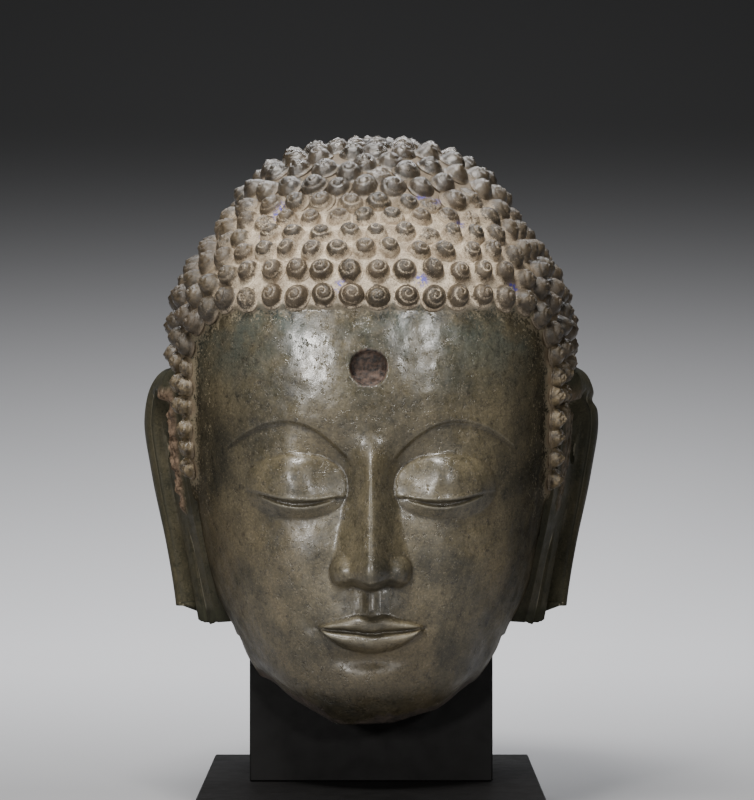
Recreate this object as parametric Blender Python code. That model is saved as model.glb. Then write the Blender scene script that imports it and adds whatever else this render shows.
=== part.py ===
"""A carved stone buddha head, broken off behind the chin, on a black post and foot.

The head is one stone: the face, the cap of snail curls, the long ears and the broken neck.
Its form is given in fingers, the unit of the carver's canon: a face is twelve fingers high, four
to the brow, four to the base of the nose and four to the chin. The stand is given in metres.

Frame: +Z up, the face looks along -Y, and the origin is under the middle of the foot.
"""

import math

import bmesh
import bpy
import numpy as np
from mathutils import Vector
from mathutils.geometry import delaunay_2d_cdt

# Driving sizes in metres
FINGER = 0.0345
POST_WIDTH = 0.250
POST_DEPTH = 0.170
POST_HEIGHT = 0.150
POST_FRONT = 0.065  # from the head's axis forward to the face of the post
FOOT_WIDTH = 0.346
FOOT_HEIGHT = 0.045
FOOT_TOE = 0.140  # the foot in front of the post
FOOT_HEEL = 0.057  # the foot behind the post
STAND_BEVEL = 0.0015
REST_GAP = 0.0003  # between two pieces that rest on each other
BREAK_CLEARANCE = 0.003  # between the post and the broken wall behind the chin
CURL_PITCH = 0.0271
CURL_ROWS = 0.0212  # from one row of curls to the next
CURL_HEIGHT = 0.014
SOCKET_RADIUS = 0.0182
SOCKET_DEPTH = 0.011
AXIS_Y = -0.0045  # the head's axis, so that the whole stands over the origin

# The head in fingers, up from the lowest point of the chin
SEAT = 2.29  # the flat break that rests on the post
BACK_RIM = 1.9  # where the jaw and neck end before the break is cut
CHIN_BREAK = 0.28  # how far the broken stone reaches below the chin
HAIRLINE = 12.0
FACE_HALF = 5.33  # half the face between the two edges of the hair
TEMPLE_CORNER = 1.5
SIDE_HAIR_END = 6.3  # where the curls in front of the ear stop
NAPE_HAIR_END = 3.7
FIRST_CURLS = 0.32  # the first and second row, up from the edge of the face
SECOND_CURLS = 1.10
SIDE_CLOSER = 0.2  # how much closer they stand before the ear, as a share
SKIN_INSET = 0.11  # the skin lies this far under the ground of the hair
RIM_EVENS_OUT = 4.5  # the height over which the sloping rim of the jaw evens out
SOCKET_X = -0.06
SOCKET_Z = 10.25
EYE_OUT = 2.2
EYE_HALF = 1.2
EYE_LEVEL = 6.6

# Level, half width, reach to the front and reach to the back of the head without its curls
HEAD_PROFILE = (
    (0.0, 3.85, 3.95, 3.6),
    (0.55, 4.10, 4.66, 3.9),
    (1.3, 4.32, 5.02, 4.15),
    (2.3, 4.62, 5.20, 4.5),
    (3.7, 4.97, 5.36, 4.75),
    (5.2, 5.27, 5.48, 5.35),
    (6.7, 5.54, 5.60, 6.0),
    (8.0, 5.73, 5.72, 6.35),
    (10.0, 5.90, 5.80, 6.6),
    (11.6, 5.93, 5.70, 6.55),
    (12.7, 5.66, 5.46, 6.2),
    (13.6, 5.12, 4.95, 5.6),
    (14.4, 4.52, 4.10, 4.85),
    (14.95, 4.16, 3.48, 4.35),
    (15.5, 3.86, 3.00, 4.05),
    (16.1, 3.28, 2.38, 3.45),
    (16.6, 2.48, 1.65, 2.62),
    (16.9, 1.38, 0.90, 1.45),
    (17.0, 0.0, 0.0, 0.0),
)

# The ear from its top down: level, rim out, rim back, root out and thickness at the rim
EAR_PROFILE = (
    (10.29, 6.10, -0.30, 5.86, 0.50),
    (9.9, 6.48, 0.45, 5.84, 0.56),
    (9.2, 6.78, 0.98, 5.80, 0.62),
    (8.6, 6.85, 1.15, 5.74, 0.66),
    (7.6, 6.72, 1.12, 5.62, 0.68),
    (6.5, 6.50, 0.92, 5.44, 0.68),
    (5.4, 6.23, 0.66, 5.22, 0.68),
    (4.3, 6.00, 0.42, 4.98, 0.66),
    (3.4, 5.86, 0.28, 4.78, 0.64),
    (2.6, 5.78, 0.22, 4.58, 0.62),
)
EAR_TOP = 10.45  # the curls clear the ear up to here
EAR_ROOT_Y = -1.42
EAR_ROOT_THICKNESS = 1.5
EAR_LEVELS = 16
EAR_STEPS = (0.0, 0.3, 0.45, 0.56, 0.66, 0.8, 0.93, 1.0)
LOBE_STEP = 0.42  # how much shorter the outer part of the broken lobe is

# The lattice of the faceted solid, in fingers
FINE = 0.27
MIDDLE = 0.52
COARSE = 0.85
RIM_POINTS = 64
EDGE_POINTS_APART = 0.4
EDGE_HALF = 0.06  # each sharp edge has a line of points this far to either side
SOCKET_SIDES = 14

# The packing of the curls
PITCH = CURL_PITCH / FINGER
ROW_SHIFT = 0.26  # how far the rows are turned from the middle of the brow, in shares of the pitch
CLOSEST_CURLS = 0.84  # in shares of the pitch
SETTLED_CROWN = 18.2  # above this arc the rings stay as they are

STONE = ("dark_stone", (0.115, 0.100, 0.078, 1.0), 0.42)
BLACK = ("black_paint", (0.012, 0.011, 0.011, 1.0), 0.60)


def smoothstep(low, high, value):
    t = np.clip((value - low) / (high - low), 0.0, 1.0)
    return t * t * (3.0 - 2.0 * t)


def bump(value, width):
    return np.exp(-((value / width) ** 2))


def smooth_max(a, b, width):
    """The greater of two reliefs, with a soft crease between them, and 0 where both are 0."""
    width = width * np.clip(np.maximum(a, b) / width, 1e-3, 1)
    h = np.clip(0.5 + 0.5 * (a - b) / width, 0, 1)
    return b + (a - b) * h + width * h * (1 - h)


def spline(knots, values):
    """A natural cubic spline through the rows of values at the knots."""
    x, y = np.asarray(knots, float), np.asarray(values, float)
    h = np.diff(x)
    n = len(x)
    system = np.eye(n)
    right = np.zeros_like(y)
    for i in range(1, n - 1):
        system[i, i - 1 : i + 2] = h[i - 1], 2 * (h[i - 1] + h[i]), h[i]
        right[i] = 6 * ((y[i + 1] - y[i]) / h[i] - (y[i] - y[i - 1]) / h[i - 1])
    curve = np.linalg.solve(system, right)

    def at(where):
        where = np.clip(np.asarray(where, float), x[0], x[-1])
        i = np.clip(np.searchsorted(x, where) - 1, 0, n - 2)
        shape = where.shape + (1,) * (y.ndim - 1)
        step = h[i].reshape(shape)
        b = (where - x[i]).reshape(shape) / step
        a = 1 - b
        bend = (a**3 - a) * curve[i] + (b**3 - b) * curve[i + 1]
        return a * y[i] + b * y[i + 1] + bend * step**2 / 6

    return at


def lengths_along(rows):
    steps = np.linalg.norm(np.diff(np.asarray(rows), axis=0), axis=1)
    return np.concatenate([[0.0], np.cumsum(steps)])


PROFILE_ARC = lengths_along([(level, half) for level, half, _, _ in HEAD_PROFILE])
HEAD_ARC = PROFILE_ARC[-1]
head_profile = spline(PROFILE_ARC, HEAD_PROFILE)
ear_profile = spline([-row[0] for row in EAR_PROFILE], EAR_PROFILE)


# The plain head


def broken_rim(turn):
    """The uneven lower edge of the stone: under the chin in front and up behind the jaw."""
    facing = np.cos(turn)
    rim = BACK_RIM * (1 - np.clip(facing, 0, 1)) ** 0.75 - CHIN_BREAK * bump(1 - facing, 0.16)
    return rim + 0.05 * np.sin(7 * turn + 0.6) + 0.035 * np.sin(16 * turn + 2.2)


def base_point(turn, arc):
    """The head without curls or features. turn is 0 at the face and pi at the nape, and arc runs up
    the side from the rim of the jaw to the crown."""
    level, half, front, back = np.moveaxis(head_profile(arc), -1, 0)
    facing = np.cos(turn)
    reach = np.maximum(np.where(facing >= 0, front, back), 1e-9)
    half = np.maximum(half, 1e-9)
    power = 2.12 + 0.13 * facing
    radius = (np.abs(np.sin(turn) / half) ** power + np.abs(facing / reach) ** power) ** (-1 / power)
    height = level + broken_rim(turn) * (1 - smoothstep(0, RIM_EVENS_OUT, level))
    return np.stack([radius * np.sin(turn), -radius * facing, height], axis=-1)


def base_normal(turn, arc):
    step = 1e-3
    arc = np.minimum(arc, HEAD_ARC - 0.02)
    along = base_point(turn + step, arc) - base_point(turn - step, arc)
    up = base_point(turn, arc + step) - base_point(turn, arc - step)
    normal = np.cross(along, up)
    return normal / np.linalg.norm(normal, axis=-1, keepdims=True)


def arc_at(turn, height):
    """How far up the side a point of the given turn and height lies."""
    low, high = np.zeros_like(turn), np.full_like(turn, HEAD_ARC)
    for _ in range(40):
        middle = (low + high) / 2
        above = base_point(turn, middle)[..., 2] > height
        low, high = np.where(above, low, middle), np.where(above, middle, high)
    return (low + high) / 2


def seen_from_front(across, height):
    """The turn and arc of the point seen at a place of the head's front."""
    low, high = np.zeros_like(across), np.full_like(across, math.pi / 2)
    for _ in range(40):
        middle = (low + high) / 2
        beyond = base_point(middle, arc_at(middle, height))[..., 0] > np.abs(across)
        low, high = np.where(beyond, low, middle), np.where(beyond, middle, high)
    turn = (low + high) / 2
    return turn * np.sign(across), arc_at(turn, height)


def moved(turn, arc, shift):
    """The turn and arc after a small shift through space, as far as it runs along the head."""
    step = 1e-3
    along = (base_point(turn + step, arc) - base_point(turn - step, arc)) / (2 * step)
    up = (base_point(turn, arc + step) - base_point(turn, arc - step)) / (2 * step)
    aa, uu, au = (along**2).sum(-1), (up**2).sum(-1), (along * up).sum(-1)
    da, du = (along * shift).sum(-1), (up * shift).sum(-1)
    area = aa * uu - au**2
    return turn + (uu * da - au * du) / area, arc + (aa * du - au * da) / area


# The cap of curls


def lowest_hair(turn):
    behind = smoothstep(math.radians(85), math.radians(140), np.abs(turn))
    return SIDE_HAIR_END + (NAPE_HAIR_END - SIDE_HAIR_END) * behind


def hair_distance(turn, arc):
    """How far inside the hair a point of the head lies, in fingers, and negative on the skin."""
    point = base_point(turn, arc)
    x, y, z = np.abs(point[..., 0]), point[..., 1], point[..., 2]
    over = np.maximum(x - (FACE_HALF - TEMPLE_CORNER), 0)
    above = np.maximum(z - (HAIRLINE - TEMPLE_CORNER), 0)
    inside = np.minimum(np.maximum(x - FACE_HALF, z - HAIRLINE) + TEMPLE_CORNER, 0)
    face_edge = inside + np.hypot(over, above) - TEMPLE_CORNER
    face_edge = np.where(y > -0.5, TEMPLE_CORNER, face_edge)
    return np.minimum(face_edge, z - lowest_hair(turn))


def spaced(points, apart):
    """Points every so often along a line of points."""
    points = np.asarray(points)
    lengths = lengths_along(points)
    count = max(2, round(lengths[-1] / apart) + 1)
    where = np.linspace(0, lengths[-1], count)
    return np.stack([np.interp(where, lengths, column) for column in points.T], axis=-1)


def beside_face(offset, apart):
    """A line along the left edge of the face, from the middle of the brow down, set off into the hair."""
    angles = np.linspace(math.pi / 2, 0, 12)
    across = FACE_HALF - TEMPLE_CORNER + TEMPLE_CORNER * np.cos(angles)
    height = HAIRLINE - TEMPLE_CORNER + TEMPLE_CORNER * np.sin(angles)
    line = spaced([(0.001, HAIRLINE), *zip(across, height), (FACE_HALF, SIDE_HAIR_END)], apart)
    turn, arc = seen_from_front(line[:, 0], line[:, 1])
    inward = np.cross(np.gradient(base_point(turn, arc), axis=0), base_normal(turn, arc))
    inward *= np.sign(inward[0, 2]) / np.linalg.norm(inward, axis=-1, keepdims=True)
    return moved(turn, arc, inward * offset)


def hair_edge(offset):
    """A line along the left edge of the hair, set off into the hair, as turns and arcs."""
    turn, arc = beside_face(offset, EDGE_POINTS_APART)
    behind = np.linspace(turn[-1] + 0.06, math.pi, 34)
    lower = arc_at(behind, lowest_hair(behind) + offset)
    return np.concatenate([turn, behind]), np.concatenate([arc, lower])


def row_beside_face(offset, side, start):
    """A row of curls that follows the edge of the face, closer together before the ear."""
    turn, arc = beside_face(offset, 0.1)
    line = base_point(turn, arc)
    apart = PITCH * (1 - SIDE_CLOSER * (1 - smoothstep(10.0, 11.2, line[1:, 2])))
    lengths = np.concatenate([[0.0], np.cumsum(np.diff(lengths_along(line)) / apart)])
    where = np.arange(start, lengths[-1], 1.0)
    return side * np.interp(where, lengths, turn), np.interp(where, lengths, arc)


def ring_of_curls(arc, start):
    """Turns at equal steps around the head."""
    turns = np.linspace(0, 2 * math.pi, 1441)
    lengths = lengths_along(base_point(turns, np.full_like(turns, arc)))
    count = max(1, round(lengths[-1] / PITCH))
    return np.interp((np.arange(count) + start) % count * lengths[-1] / count, lengths, turns)


def behind_ear(turn, arc):
    """Whether an ear covers the place."""
    _, y, z = np.moveaxis(base_point(turn, arc), -1, 0)
    return (y > EAR_ROOT_Y - 0.1) & (y < ear_profile(-z)[..., 2] - 0.05) & (z < EAR_TOP)


def in_hair(turn, arc):
    return (hair_distance(turn, arc) > 0.27) & ~behind_ear(turn, arc)


def settled(turn, arc, held):
    """The curls after each has made room for its neighbours. The held ones stay put."""
    for _ in range(16):
        solid = base_point(turn, arc)
        apart = solid[:, None] - solid[None]
        distance = np.linalg.norm(apart, axis=-1) + 1e-9
        push = np.clip(1 - distance / (1.08 * PITCH), 0, 1) * 0.5 * PITCH
        np.fill_diagonal(push, 0)
        shift = (apart / distance[..., None] * push[..., None]).sum(axis=1)
        new_turn, new_arc = moved(turn, arc, shift)
        free = ~held & in_hair(new_turn, new_arc)
        turn, arc = np.where(free, new_turn, turn), np.where(free, new_arc, arc)
    return turn, arc


def curl_sites():
    """The turn and arc of each curl: two rows along the face, then rings, packed where they meet."""
    rows = []
    for offset in (FIRST_CURLS, SECOND_CURLS):
        rows.append(row_beside_face(offset, 1, ROW_SHIFT))
        rows.append(row_beside_face(offset, -1, 1 - ROW_SHIFT))
    turn, arc = np.concatenate(rows, axis=1)
    low = (base_point(turn, arc)[..., 2] < SIDE_HAIR_END) | behind_ear(turn, arc)
    turn, arc = turn[~low], arc[~low]
    first = float(arc_at(np.array(0.0), np.array(HAIRLINE + SECOND_CURLS)))
    count = round((HEAD_ARC - first) / (CURL_ROWS / FINGER))
    row = (HEAD_ARC - first) / count
    more = []
    for index in [*range(1, count), *range(0, -14, -1)]:
        ring = first + index * row
        more += [(place, ring) for place in ring_of_curls(ring, ROW_SHIFT + index % 2 / 2)]
    for ring in np.arange(first - 14 * row, HEAD_ARC, 0.15):
        more += [(place, ring) for place in np.linspace(0, 2 * math.pi, 240)]
    more = np.array(more)
    more = more[in_hair(*more.T)]
    spots = base_point(*more.T)
    free = np.ones(len(spots), bool)
    for point in base_point(turn, arc):
        free &= np.linalg.norm(spots - point, axis=-1) > CLOSEST_CURLS * PITCH
    chosen = []
    while free.any():
        chosen.append(int(np.argmax(free)))
        free &= np.linalg.norm(spots - spots[chosen[-1]], axis=-1) > CLOSEST_CURLS * PITCH
    held = np.arange(len(turn) + len(chosen)) < len(turn)
    turn, arc = np.append(turn, more[chosen, 0]), np.append(arc, more[chosen, 1])
    held |= arc > SETTLED_CROWN
    spread = np.random.default_rng(11).normal(0, 0.03, (2, len(turn)))
    spread[:, arc > SETTLED_CROWN] = 0
    turn, arc = settled(turn, arc, held)
    turn, arc = turn + spread[0] / 5, arc + spread[1]
    return (turn + math.pi) % (2 * math.pi) - math.pi, arc


# The face, calm and on the canon's proportions

nose_bridge = spline(
    (3.7, 4.0, 4.3, 4.6, 5.2, 6.0, 6.8, 7.4, 8.0, 8.7),
    (0.90, 1.12, 1.25, 1.25, 1.08, 0.84, 0.63, 0.46, 0.26, 0.0),
)
nose_foot = spline((3.7, 4.4, 5.0, 5.8, 6.6, 7.4, 8.2, 8.7), (1.2, 1.28, 1.16, 0.96, 0.80, 0.74, 0.9, 1.1))


def brow_height(x):
    """The brow: an arch from the root of the nose out to the temple."""
    inner = 1.3 * ((x - 2.5) / 2.0) ** 2
    outer = 1.0 * ((x - 2.5) / 2.0) ** 2
    return 8.72 - np.where(x < 2.5, inner, outer)


def eye_edges(x):
    """The edges of the upper and of the under lid, and how far along the eye x is."""
    along = np.clip((x - EYE_OUT) / EYE_HALF, -1, 1)
    bow = 1 - along**2
    upper = EYE_LEVEL - 0.17 * bow + 0.07 * along
    return upper, upper - 0.15 * bow, along


def lip_edges(x):
    """The upper edge, the parting and the lower edge of the lips."""
    parting = 2.67 + 0.035 * x**2 - 0.05 * bump(x, 0.35)
    upper = parting + 0.46 * np.clip(1 - (x / 1.62) ** 2, 0, 1) + 0.06 * bump(x - 0.36, 0.24)
    lower = parting - 0.58 * np.clip(1 - (x / 1.5) ** 2.4, 0, 1) ** 0.8
    return upper, parting, lower


def brow_and_lids(x, z):
    relief = -0.38 * bump(x - 1.15, 0.8) * bump(z - 7.2, 0.95)
    under_brow = brow_height(x) - z
    ends = smoothstep(0.3, 1.0, x) * (1 - smoothstep(3.9, 4.6, x))
    step = smoothstep(-0.04, 0.10, under_brow) * bump(np.maximum(under_brow, 0), 1.2)
    relief -= 0.11 * ends * step

    inside = 1 - (np.abs(x - EYE_OUT) / 1.52) ** 2.2 - (np.abs(z - EYE_LEVEL - 0.2) / 0.98) ** 2.2
    upper_lid = 0.44 * np.clip(inside, 0, 1) ** 0.6
    inside = 1 - (np.abs(x - EYE_OUT) / 1.5) ** 2.2 - (np.abs(z - EYE_LEVEL - 0.1) / 0.8) ** 2.2
    under_lid = 0.34 * np.clip(inside, 0, 1) ** 0.95
    upper, under, along = eye_edges(x)
    above = smoothstep(-0.03, 0.02, z - upper)
    below = smoothstep(-0.02, 0.03, under - z)
    slit = 0.13 * (1 - along**2) ** 0.5
    relief += upper_lid * above + under_lid * (1 - above) - slit * (1 - above) * (1 - below)
    rim = (1 - along**2) ** 0.5
    relief += 0.03 * rim * (bump(z - under + 0.06, 0.07) + bump(z - upper - 0.07, 0.06))
    return relief


def nose(x, z):
    across = np.clip(x / nose_foot(z), 0, 1)
    ridge = nose_bridge(z) * (0.41 * (1 + np.cos(math.pi * across)) + 0.18 * bump(x, 0.34))
    ridge *= 1 - smoothstep(7.3, 8.7, z)
    tip = 1.20 * np.clip(1 - (x / 0.62) ** 2 - ((z - 4.45) / 0.62) ** 2, 0, 1) ** 0.5
    wing = 0.60 * np.clip(1 - ((x - 0.74) / 0.46) ** 2 - ((z - 4.40) / 0.50) ** 2, 0, 1) ** 0.6
    form = smooth_max(smooth_max(ridge, tip, 0.25), wing, 0.30)
    arch = 0.12 * bump(x - 0.5, 0.3)
    return form * smoothstep(3.80 + arch, 4.14 + arch, z)


def mouth_and_chin(x, z):
    relief = 0.24 * bump(x, 1.6) * bump(z - 2.75, 1.1)
    relief += 0.24 * bump(x, 1.05) * bump(z - 1.1, 0.72)
    relief -= 0.15 * bump(x, 1.0) * bump(z - 1.85, 0.24)
    beside = smoothstep(3.05, 3.3, z) * (1 - smoothstep(3.75, 3.95, z))
    relief += (0.04 * bump(x - 0.3, 0.12) - 0.09 * bump(x, 0.17)) * beside
    top, parting, bottom = lip_edges(x)
    lips = 1 - smoothstep(1.46, 1.64, x)
    for edge, height in ((top, 0.26), (bottom, 0.31)):
        span = np.where(np.abs(edge - parting) < 1e-6, 1e-6, edge - parting)
        depth = np.clip((z - parting) / span, 0, 1)
        relief += height * lips * (4 * depth * (1 - depth)) ** 0.6
    relief -= 0.09 * bump(z - parting, 0.06) * (1 - smoothstep(1.45, 1.75, x))
    return relief - 0.07 * bump(x - 1.72, 0.26) * bump(z - parting, 0.26)


def face_relief(x, z):
    """How far the features stand in front of the plain head, in fingers."""
    x = np.abs(x)
    cheeks = 0.22 * bump(x - 2.8, 1.5) * bump(z - 4.6, 1.5)
    fold = bump(x - (1.5 + 0.3 * (4.3 - z)), 0.35) * smoothstep(2.7, 3.6, z) * (1 - smoothstep(4.2, 5.0, z))
    return cheeks - 0.05 * fold + brow_and_lids(x, z) + nose(x, z) + mouth_and_chin(x, z)


def head_point(turn, arc, raised=0.0):
    """A point of the carved head, raised over the ground of the hair."""
    point = base_point(turn, arc)
    normal = base_normal(turn, arc)
    x, y, z = np.moveaxis(point, -1, 0)
    skin = 1 - smoothstep(-EDGE_HALF, EDGE_HALF, hair_distance(turn, arc))
    facing = smoothstep(1.2, 2.6, -y) * (1 - smoothstep(4.6, 5.3, np.abs(x)))
    sunk = (np.hypot(x - SOCKET_X, z - SOCKET_Z) < SOCKET_RADIUS / FINGER) & (y < 0)
    point = point + normal * np.expand_dims(raised - SKIN_INSET * skin, -1)
    point[..., 1] -= face_relief(x, z) * facing * skin - sunk * SOCKET_DEPTH / FINGER
    return point


# The lattice of points over the head


def mirrored(turn, arc):
    return np.concatenate([turn, -turn]), np.concatenate([arc, arc])


def front_grid(x_range, z_range, apart):
    """Points on the front of the head, in rows that are shifted against each other."""
    rows = np.arange(z_range[0], z_range[1], apart * 0.87)
    places = []
    for number, z in enumerate(rows):
        for x in np.arange(x_range[0] + apart / 2 * (number % 2), x_range[1], apart):
            places.append((x, z))
    x, z = np.array(places).T
    return seen_from_front(x, z)


def feature_lines():
    """Lines of points beside the sharp edges of the brow, the lids and the lips."""
    places = []
    for x in np.arange(0.35, 4.3, FINE):
        brow = float(brow_height(x))
        places += [(x, brow + EDGE_HALF), (x, brow - 1.6 * EDGE_HALF)]
    for x in np.linspace(EYE_OUT - 0.97 * EYE_HALF, EYE_OUT + 0.97 * EYE_HALF, 10):
        upper, under, _ = eye_edges(x)
        places += [(x, upper + 0.03), (x, under - 0.02)]
        if upper - under > 0.1:
            places.append((x, (upper + under) / 2))
    for angle in np.linspace(0, 2 * math.pi, 20, endpoint=False):
        places.append((EYE_OUT + 1.54 * math.cos(angle), EYE_LEVEL + 0.2 + math.sin(angle)))
    for x in np.linspace(0.001, 1.6, 7):
        upper, parting, lower = (float(edge) for edge in lip_edges(x))
        places += [(x, parting), (x, upper + 0.03), (x, lower - 0.03)]
        places += [(x, (upper + parting) / 2), (x, (lower + parting) / 2)]
    for z in np.arange(4.15, 8.3, FINE):
        places.append((0.001, z))
    x, z = np.array(places).T
    return mirrored(*seen_from_front(x, z))


def socket_rings():
    angles = np.linspace(0, 2 * math.pi, SOCKET_SIDES, endpoint=False)
    radius = SOCKET_RADIUS / FINGER
    across = np.concatenate([reach * np.cos(angles) for reach in (radius + 0.01, radius - 0.03)])
    up = np.concatenate([reach * np.sin(angles) for reach in (radius + 0.01, radius - 0.03)])
    return seen_from_front(np.append(across, 0) + SOCKET_X, np.append(up, 0) + SOCKET_Z)


def skin_rings(apart):
    """Rings of points over the jaw, the neck and the skin behind the ears."""
    turns, arcs = [], []
    for number, arc in enumerate(np.arange(0.45, 7.5, apart * 0.87)):
        radius = float(np.linalg.norm(base_point(np.array(math.pi / 2), np.array(arc))[:2]))
        count = round(2 * math.pi * radius / apart)
        turn = np.linspace(-math.pi, math.pi, count, endpoint=False) + (number % 2) * math.pi / count
        turns.append(turn)
        arcs.append(np.full(count, arc))
    return np.concatenate(turns), np.concatenate(arcs)


def flattened(turn, arc):
    """The head spread out flat around its crown, without shear, so that triangles keep their shape."""
    arcs = np.linspace(0, HEAD_ARC - 1e-3, 600)
    sides = base_point(np.full_like(arcs, math.pi / 2), arcs)
    fronts = base_point(np.zeros_like(arcs), arcs)
    radius = (sides[:, 0] - fronts[:, 1]) / 2
    steps = np.diff(arcs) * (1 / radius[1:] + 1 / radius[:-1]) / 2
    shrink = np.exp(-np.concatenate([[0.0], np.cumsum(steps)]))
    rho = np.where(arc >= arcs[-1], 0.0, np.interp(arc, arcs, shrink))
    return np.stack([rho * np.sin(turn), -rho * np.cos(turn)], axis=-1)


def triangulated(flat):
    points = [Vector(point) for point in flat]
    _, _, faces, origins, _, _ = delaunay_2d_cdt(points, [], [], 0, 1e-9)
    return [[origins[corner][0] for corner in face] for face in faces]


def valleys(turn, arc):
    """The places between three neighbouring curls."""
    flat = flattened(turn, arc)
    solid = base_point(turn, arc)
    triples = np.array(triangulated(flat))
    sides = [solid[triples[:, i]] - solid[triples[:, (i + 1) % 3]] for i in range(3)]
    longest = np.max([np.linalg.norm(side, axis=-1) for side in sides], axis=0)
    triples = triples[longest < 1.8 * PITCH]
    middle = flat[triples].mean(axis=1)
    arcs = np.linspace(0, HEAD_ARC, 2000)
    reach = np.linalg.norm(flattened(np.zeros_like(arcs), arcs), axis=-1)
    rho = np.linalg.norm(middle, axis=-1)
    return np.arctan2(middle[:, 0], -middle[:, 1]), np.interp(-rho, -reach, arcs)


class Lattice:
    """Points of the head, each kept only where the earlier ones leave it room."""

    def __init__(self):
        self.turn = np.zeros(0)
        self.arc = np.zeros(0)
        self.raised = np.zeros(0)
        self.solid = np.zeros((0, 3))

    def add(self, places, room, raised=0.0, where=None):
        for turn, arc in zip(*places):
            point = base_point(turn, arc)
            if where is not None and not where(turn, arc):
                continue
            if len(self.solid) and np.min(np.linalg.norm(self.solid - point, axis=1)) < room:
                continue
            self.turn = np.append(self.turn, turn)
            self.arc = np.append(self.arc, arc)
            self.raised = np.append(self.raised, raised)
            self.solid = np.vstack([self.solid, point])


def on_bare_skin(turn, arc):
    return hair_distance(turn, arc) < -0.16


def head_lattice():
    lattice = Lattice()
    rim = np.linspace(-math.pi, math.pi, RIM_POINTS, endpoint=False)
    lattice.add((rim, np.zeros(RIM_POINTS)), 0)
    lattice.add(socket_rings(), 0)
    lattice.add(mirrored(*hair_edge(-EDGE_HALF)), 0.05)
    lattice.add(mirrored(*hair_edge(EDGE_HALF)), 0.05)
    sites = curl_sites()
    lattice.add(sites, 0.2, CURL_HEIGHT / FINGER)
    lattice.add(valleys(*sites), 0.2)
    lattice.add(feature_lines(), 0.08, where=on_bare_skin)
    eyes = front_grid((0.65, 3.9), (5.9, 9.1), FINE)
    nose = front_grid((-1.3, 1.31), (3.6, 8.2), FINE)
    mouth = front_grid((-1.75, 1.76), (1.75, 3.6), FINE)
    for zone in (mirrored(*eyes), nose, mouth):
        lattice.add(zone, 0.6 * FINE, where=on_bare_skin)
    lattice.add(front_grid((-5.0, 5.01), (0.9, HAIRLINE), MIDDLE), 0.6 * MIDDLE, where=on_bare_skin)
    lattice.add(skin_rings(COARSE), 0.6 * COARSE, where=on_bare_skin)
    return lattice


# Meshes and objects


def new_object(name, mesh, material):
    item = bpy.data.objects.new(name, mesh)
    item.data.materials.append(material)
    bpy.context.scene.collection.objects.link(item)
    return item


def new_material(name, colour, roughness):
    material = bpy.data.materials.new(name)
    material.use_nodes = True
    shader = material.node_tree.nodes["Principled BSDF"]
    shader.inputs["Base Color"].default_value = colour
    shader.inputs["Roughness"].default_value = roughness
    shader.inputs["Metallic"].default_value = 0.0
    return material


def closed_mesh(name, corners, faces):
    """A mesh in metres from corners in fingers, with its faces pointing out."""
    work = bmesh.new()
    points = [work.verts.new(Vector(corner) * FINGER) for corner in corners]
    for face in faces:
        work.faces.new([points[corner] for corner in face])
    bmesh.ops.recalc_face_normals(work, faces=work.faces)
    mesh = bpy.data.meshes.new(name)
    work.to_mesh(mesh)
    work.free()
    return mesh


def head_mesh():
    lattice = head_lattice()
    corners = list(head_point(lattice.turn, lattice.arc, lattice.raised))
    faces = triangulated(flattened(lattice.turn, lattice.arc))
    under = len(corners)
    corners.append((0.0, -0.6, 0.8))
    faces += [(i, (i + 1) % RIM_POINTS, under) for i in range(RIM_POINTS)]
    return closed_mesh("stone_head", corners, faces)


def ear_relief(out, level, width):
    """The carving of the ear's outer side: rim, groove, inner fold, hollow and slit lobe."""
    top = EAR_PROFILE[0][0]
    from_edge = np.minimum(width - out, (top - level) * 0.9)
    upper = smoothstep(4.6, 5.4, level)
    relief = 0.26 * bump(from_edge - 0.17, 0.2) - 0.12 * bump(from_edge - 0.5, 0.14)
    relief += 0.22 * bump(from_edge - 0.88, 0.2) * upper
    hollow = np.clip(1 - ((out - 1.2) / 0.62) ** 2 - ((level - 6.6) / 1.3) ** 2, 0, 1)
    relief -= 0.5 * hollow**0.6
    relief += 0.22 * bump(out - 0.55, 0.24) * bump(level - 6.2, 0.5)
    relief += 0.20 * bump(out - 1.15, 0.3) * bump(level - 5.15, 0.3)
    slit = (1 - upper) * bump(out - 0.62 * width, 0.15)
    return relief - 0.42 * slit


def ear_mesh(side):
    """One ear as a stack of slices from its top to the broken lobe."""
    levels = -np.linspace(-EAR_PROFILE[0][0], -EAR_PROFILE[-1][0], EAR_LEVELS)
    corners, slices = [], []
    for number, slice_level in enumerate(levels):
        _, rim_x, rim_y, root_x, thickness = ear_profile(-slice_level)
        root = np.array([root_x, EAR_ROOT_Y])
        across = np.array([rim_x, rim_y]) - root
        width = float(np.linalg.norm(across))
        along = across / width
        outward = np.array([along[1], -along[0]])
        outer, inner = [], []
        for share in EAR_STEPS:
            out = share * width
            level = slice_level
            if number == EAR_LEVELS - 1:
                level += LOBE_STEP * smoothstep(0.6, 0.75, share)
            relief = float(ear_relief(out, level, width)) * smoothstep(0.2, 0.45, share)
            wedge = EAR_ROOT_THICKNESS + (thickness - EAR_ROOT_THICKNESS) * share
            outer.append((*(root + along * out + outward * relief), level))
            if share in (0.0, 0.45, 0.8, 1.0):
                inner.append((*(root + along * out - outward * wedge), level))
        ring = outer + inner[::-1]
        slices.append(range(len(corners), len(corners) + len(ring)))
        corners += [(side * x, y, z) for x, y, z in ring]
    faces = []
    for upper, lower in zip(slices, slices[1:]):
        for i in range(len(upper)):
            j = (i + 1) % len(upper)
            faces += [(upper[i], upper[j], lower[j]), (upper[i], lower[j], lower[i])]
    for end in (slices[0], slices[-1]):
        middle = len(corners)
        corners.append(tuple(np.mean([corners[i] for i in end], axis=0)))
        faces += [(end[i], end[(i + 1) % len(end)], middle) for i in range(len(end))]
    return closed_mesh("ear", corners, faces)


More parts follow.
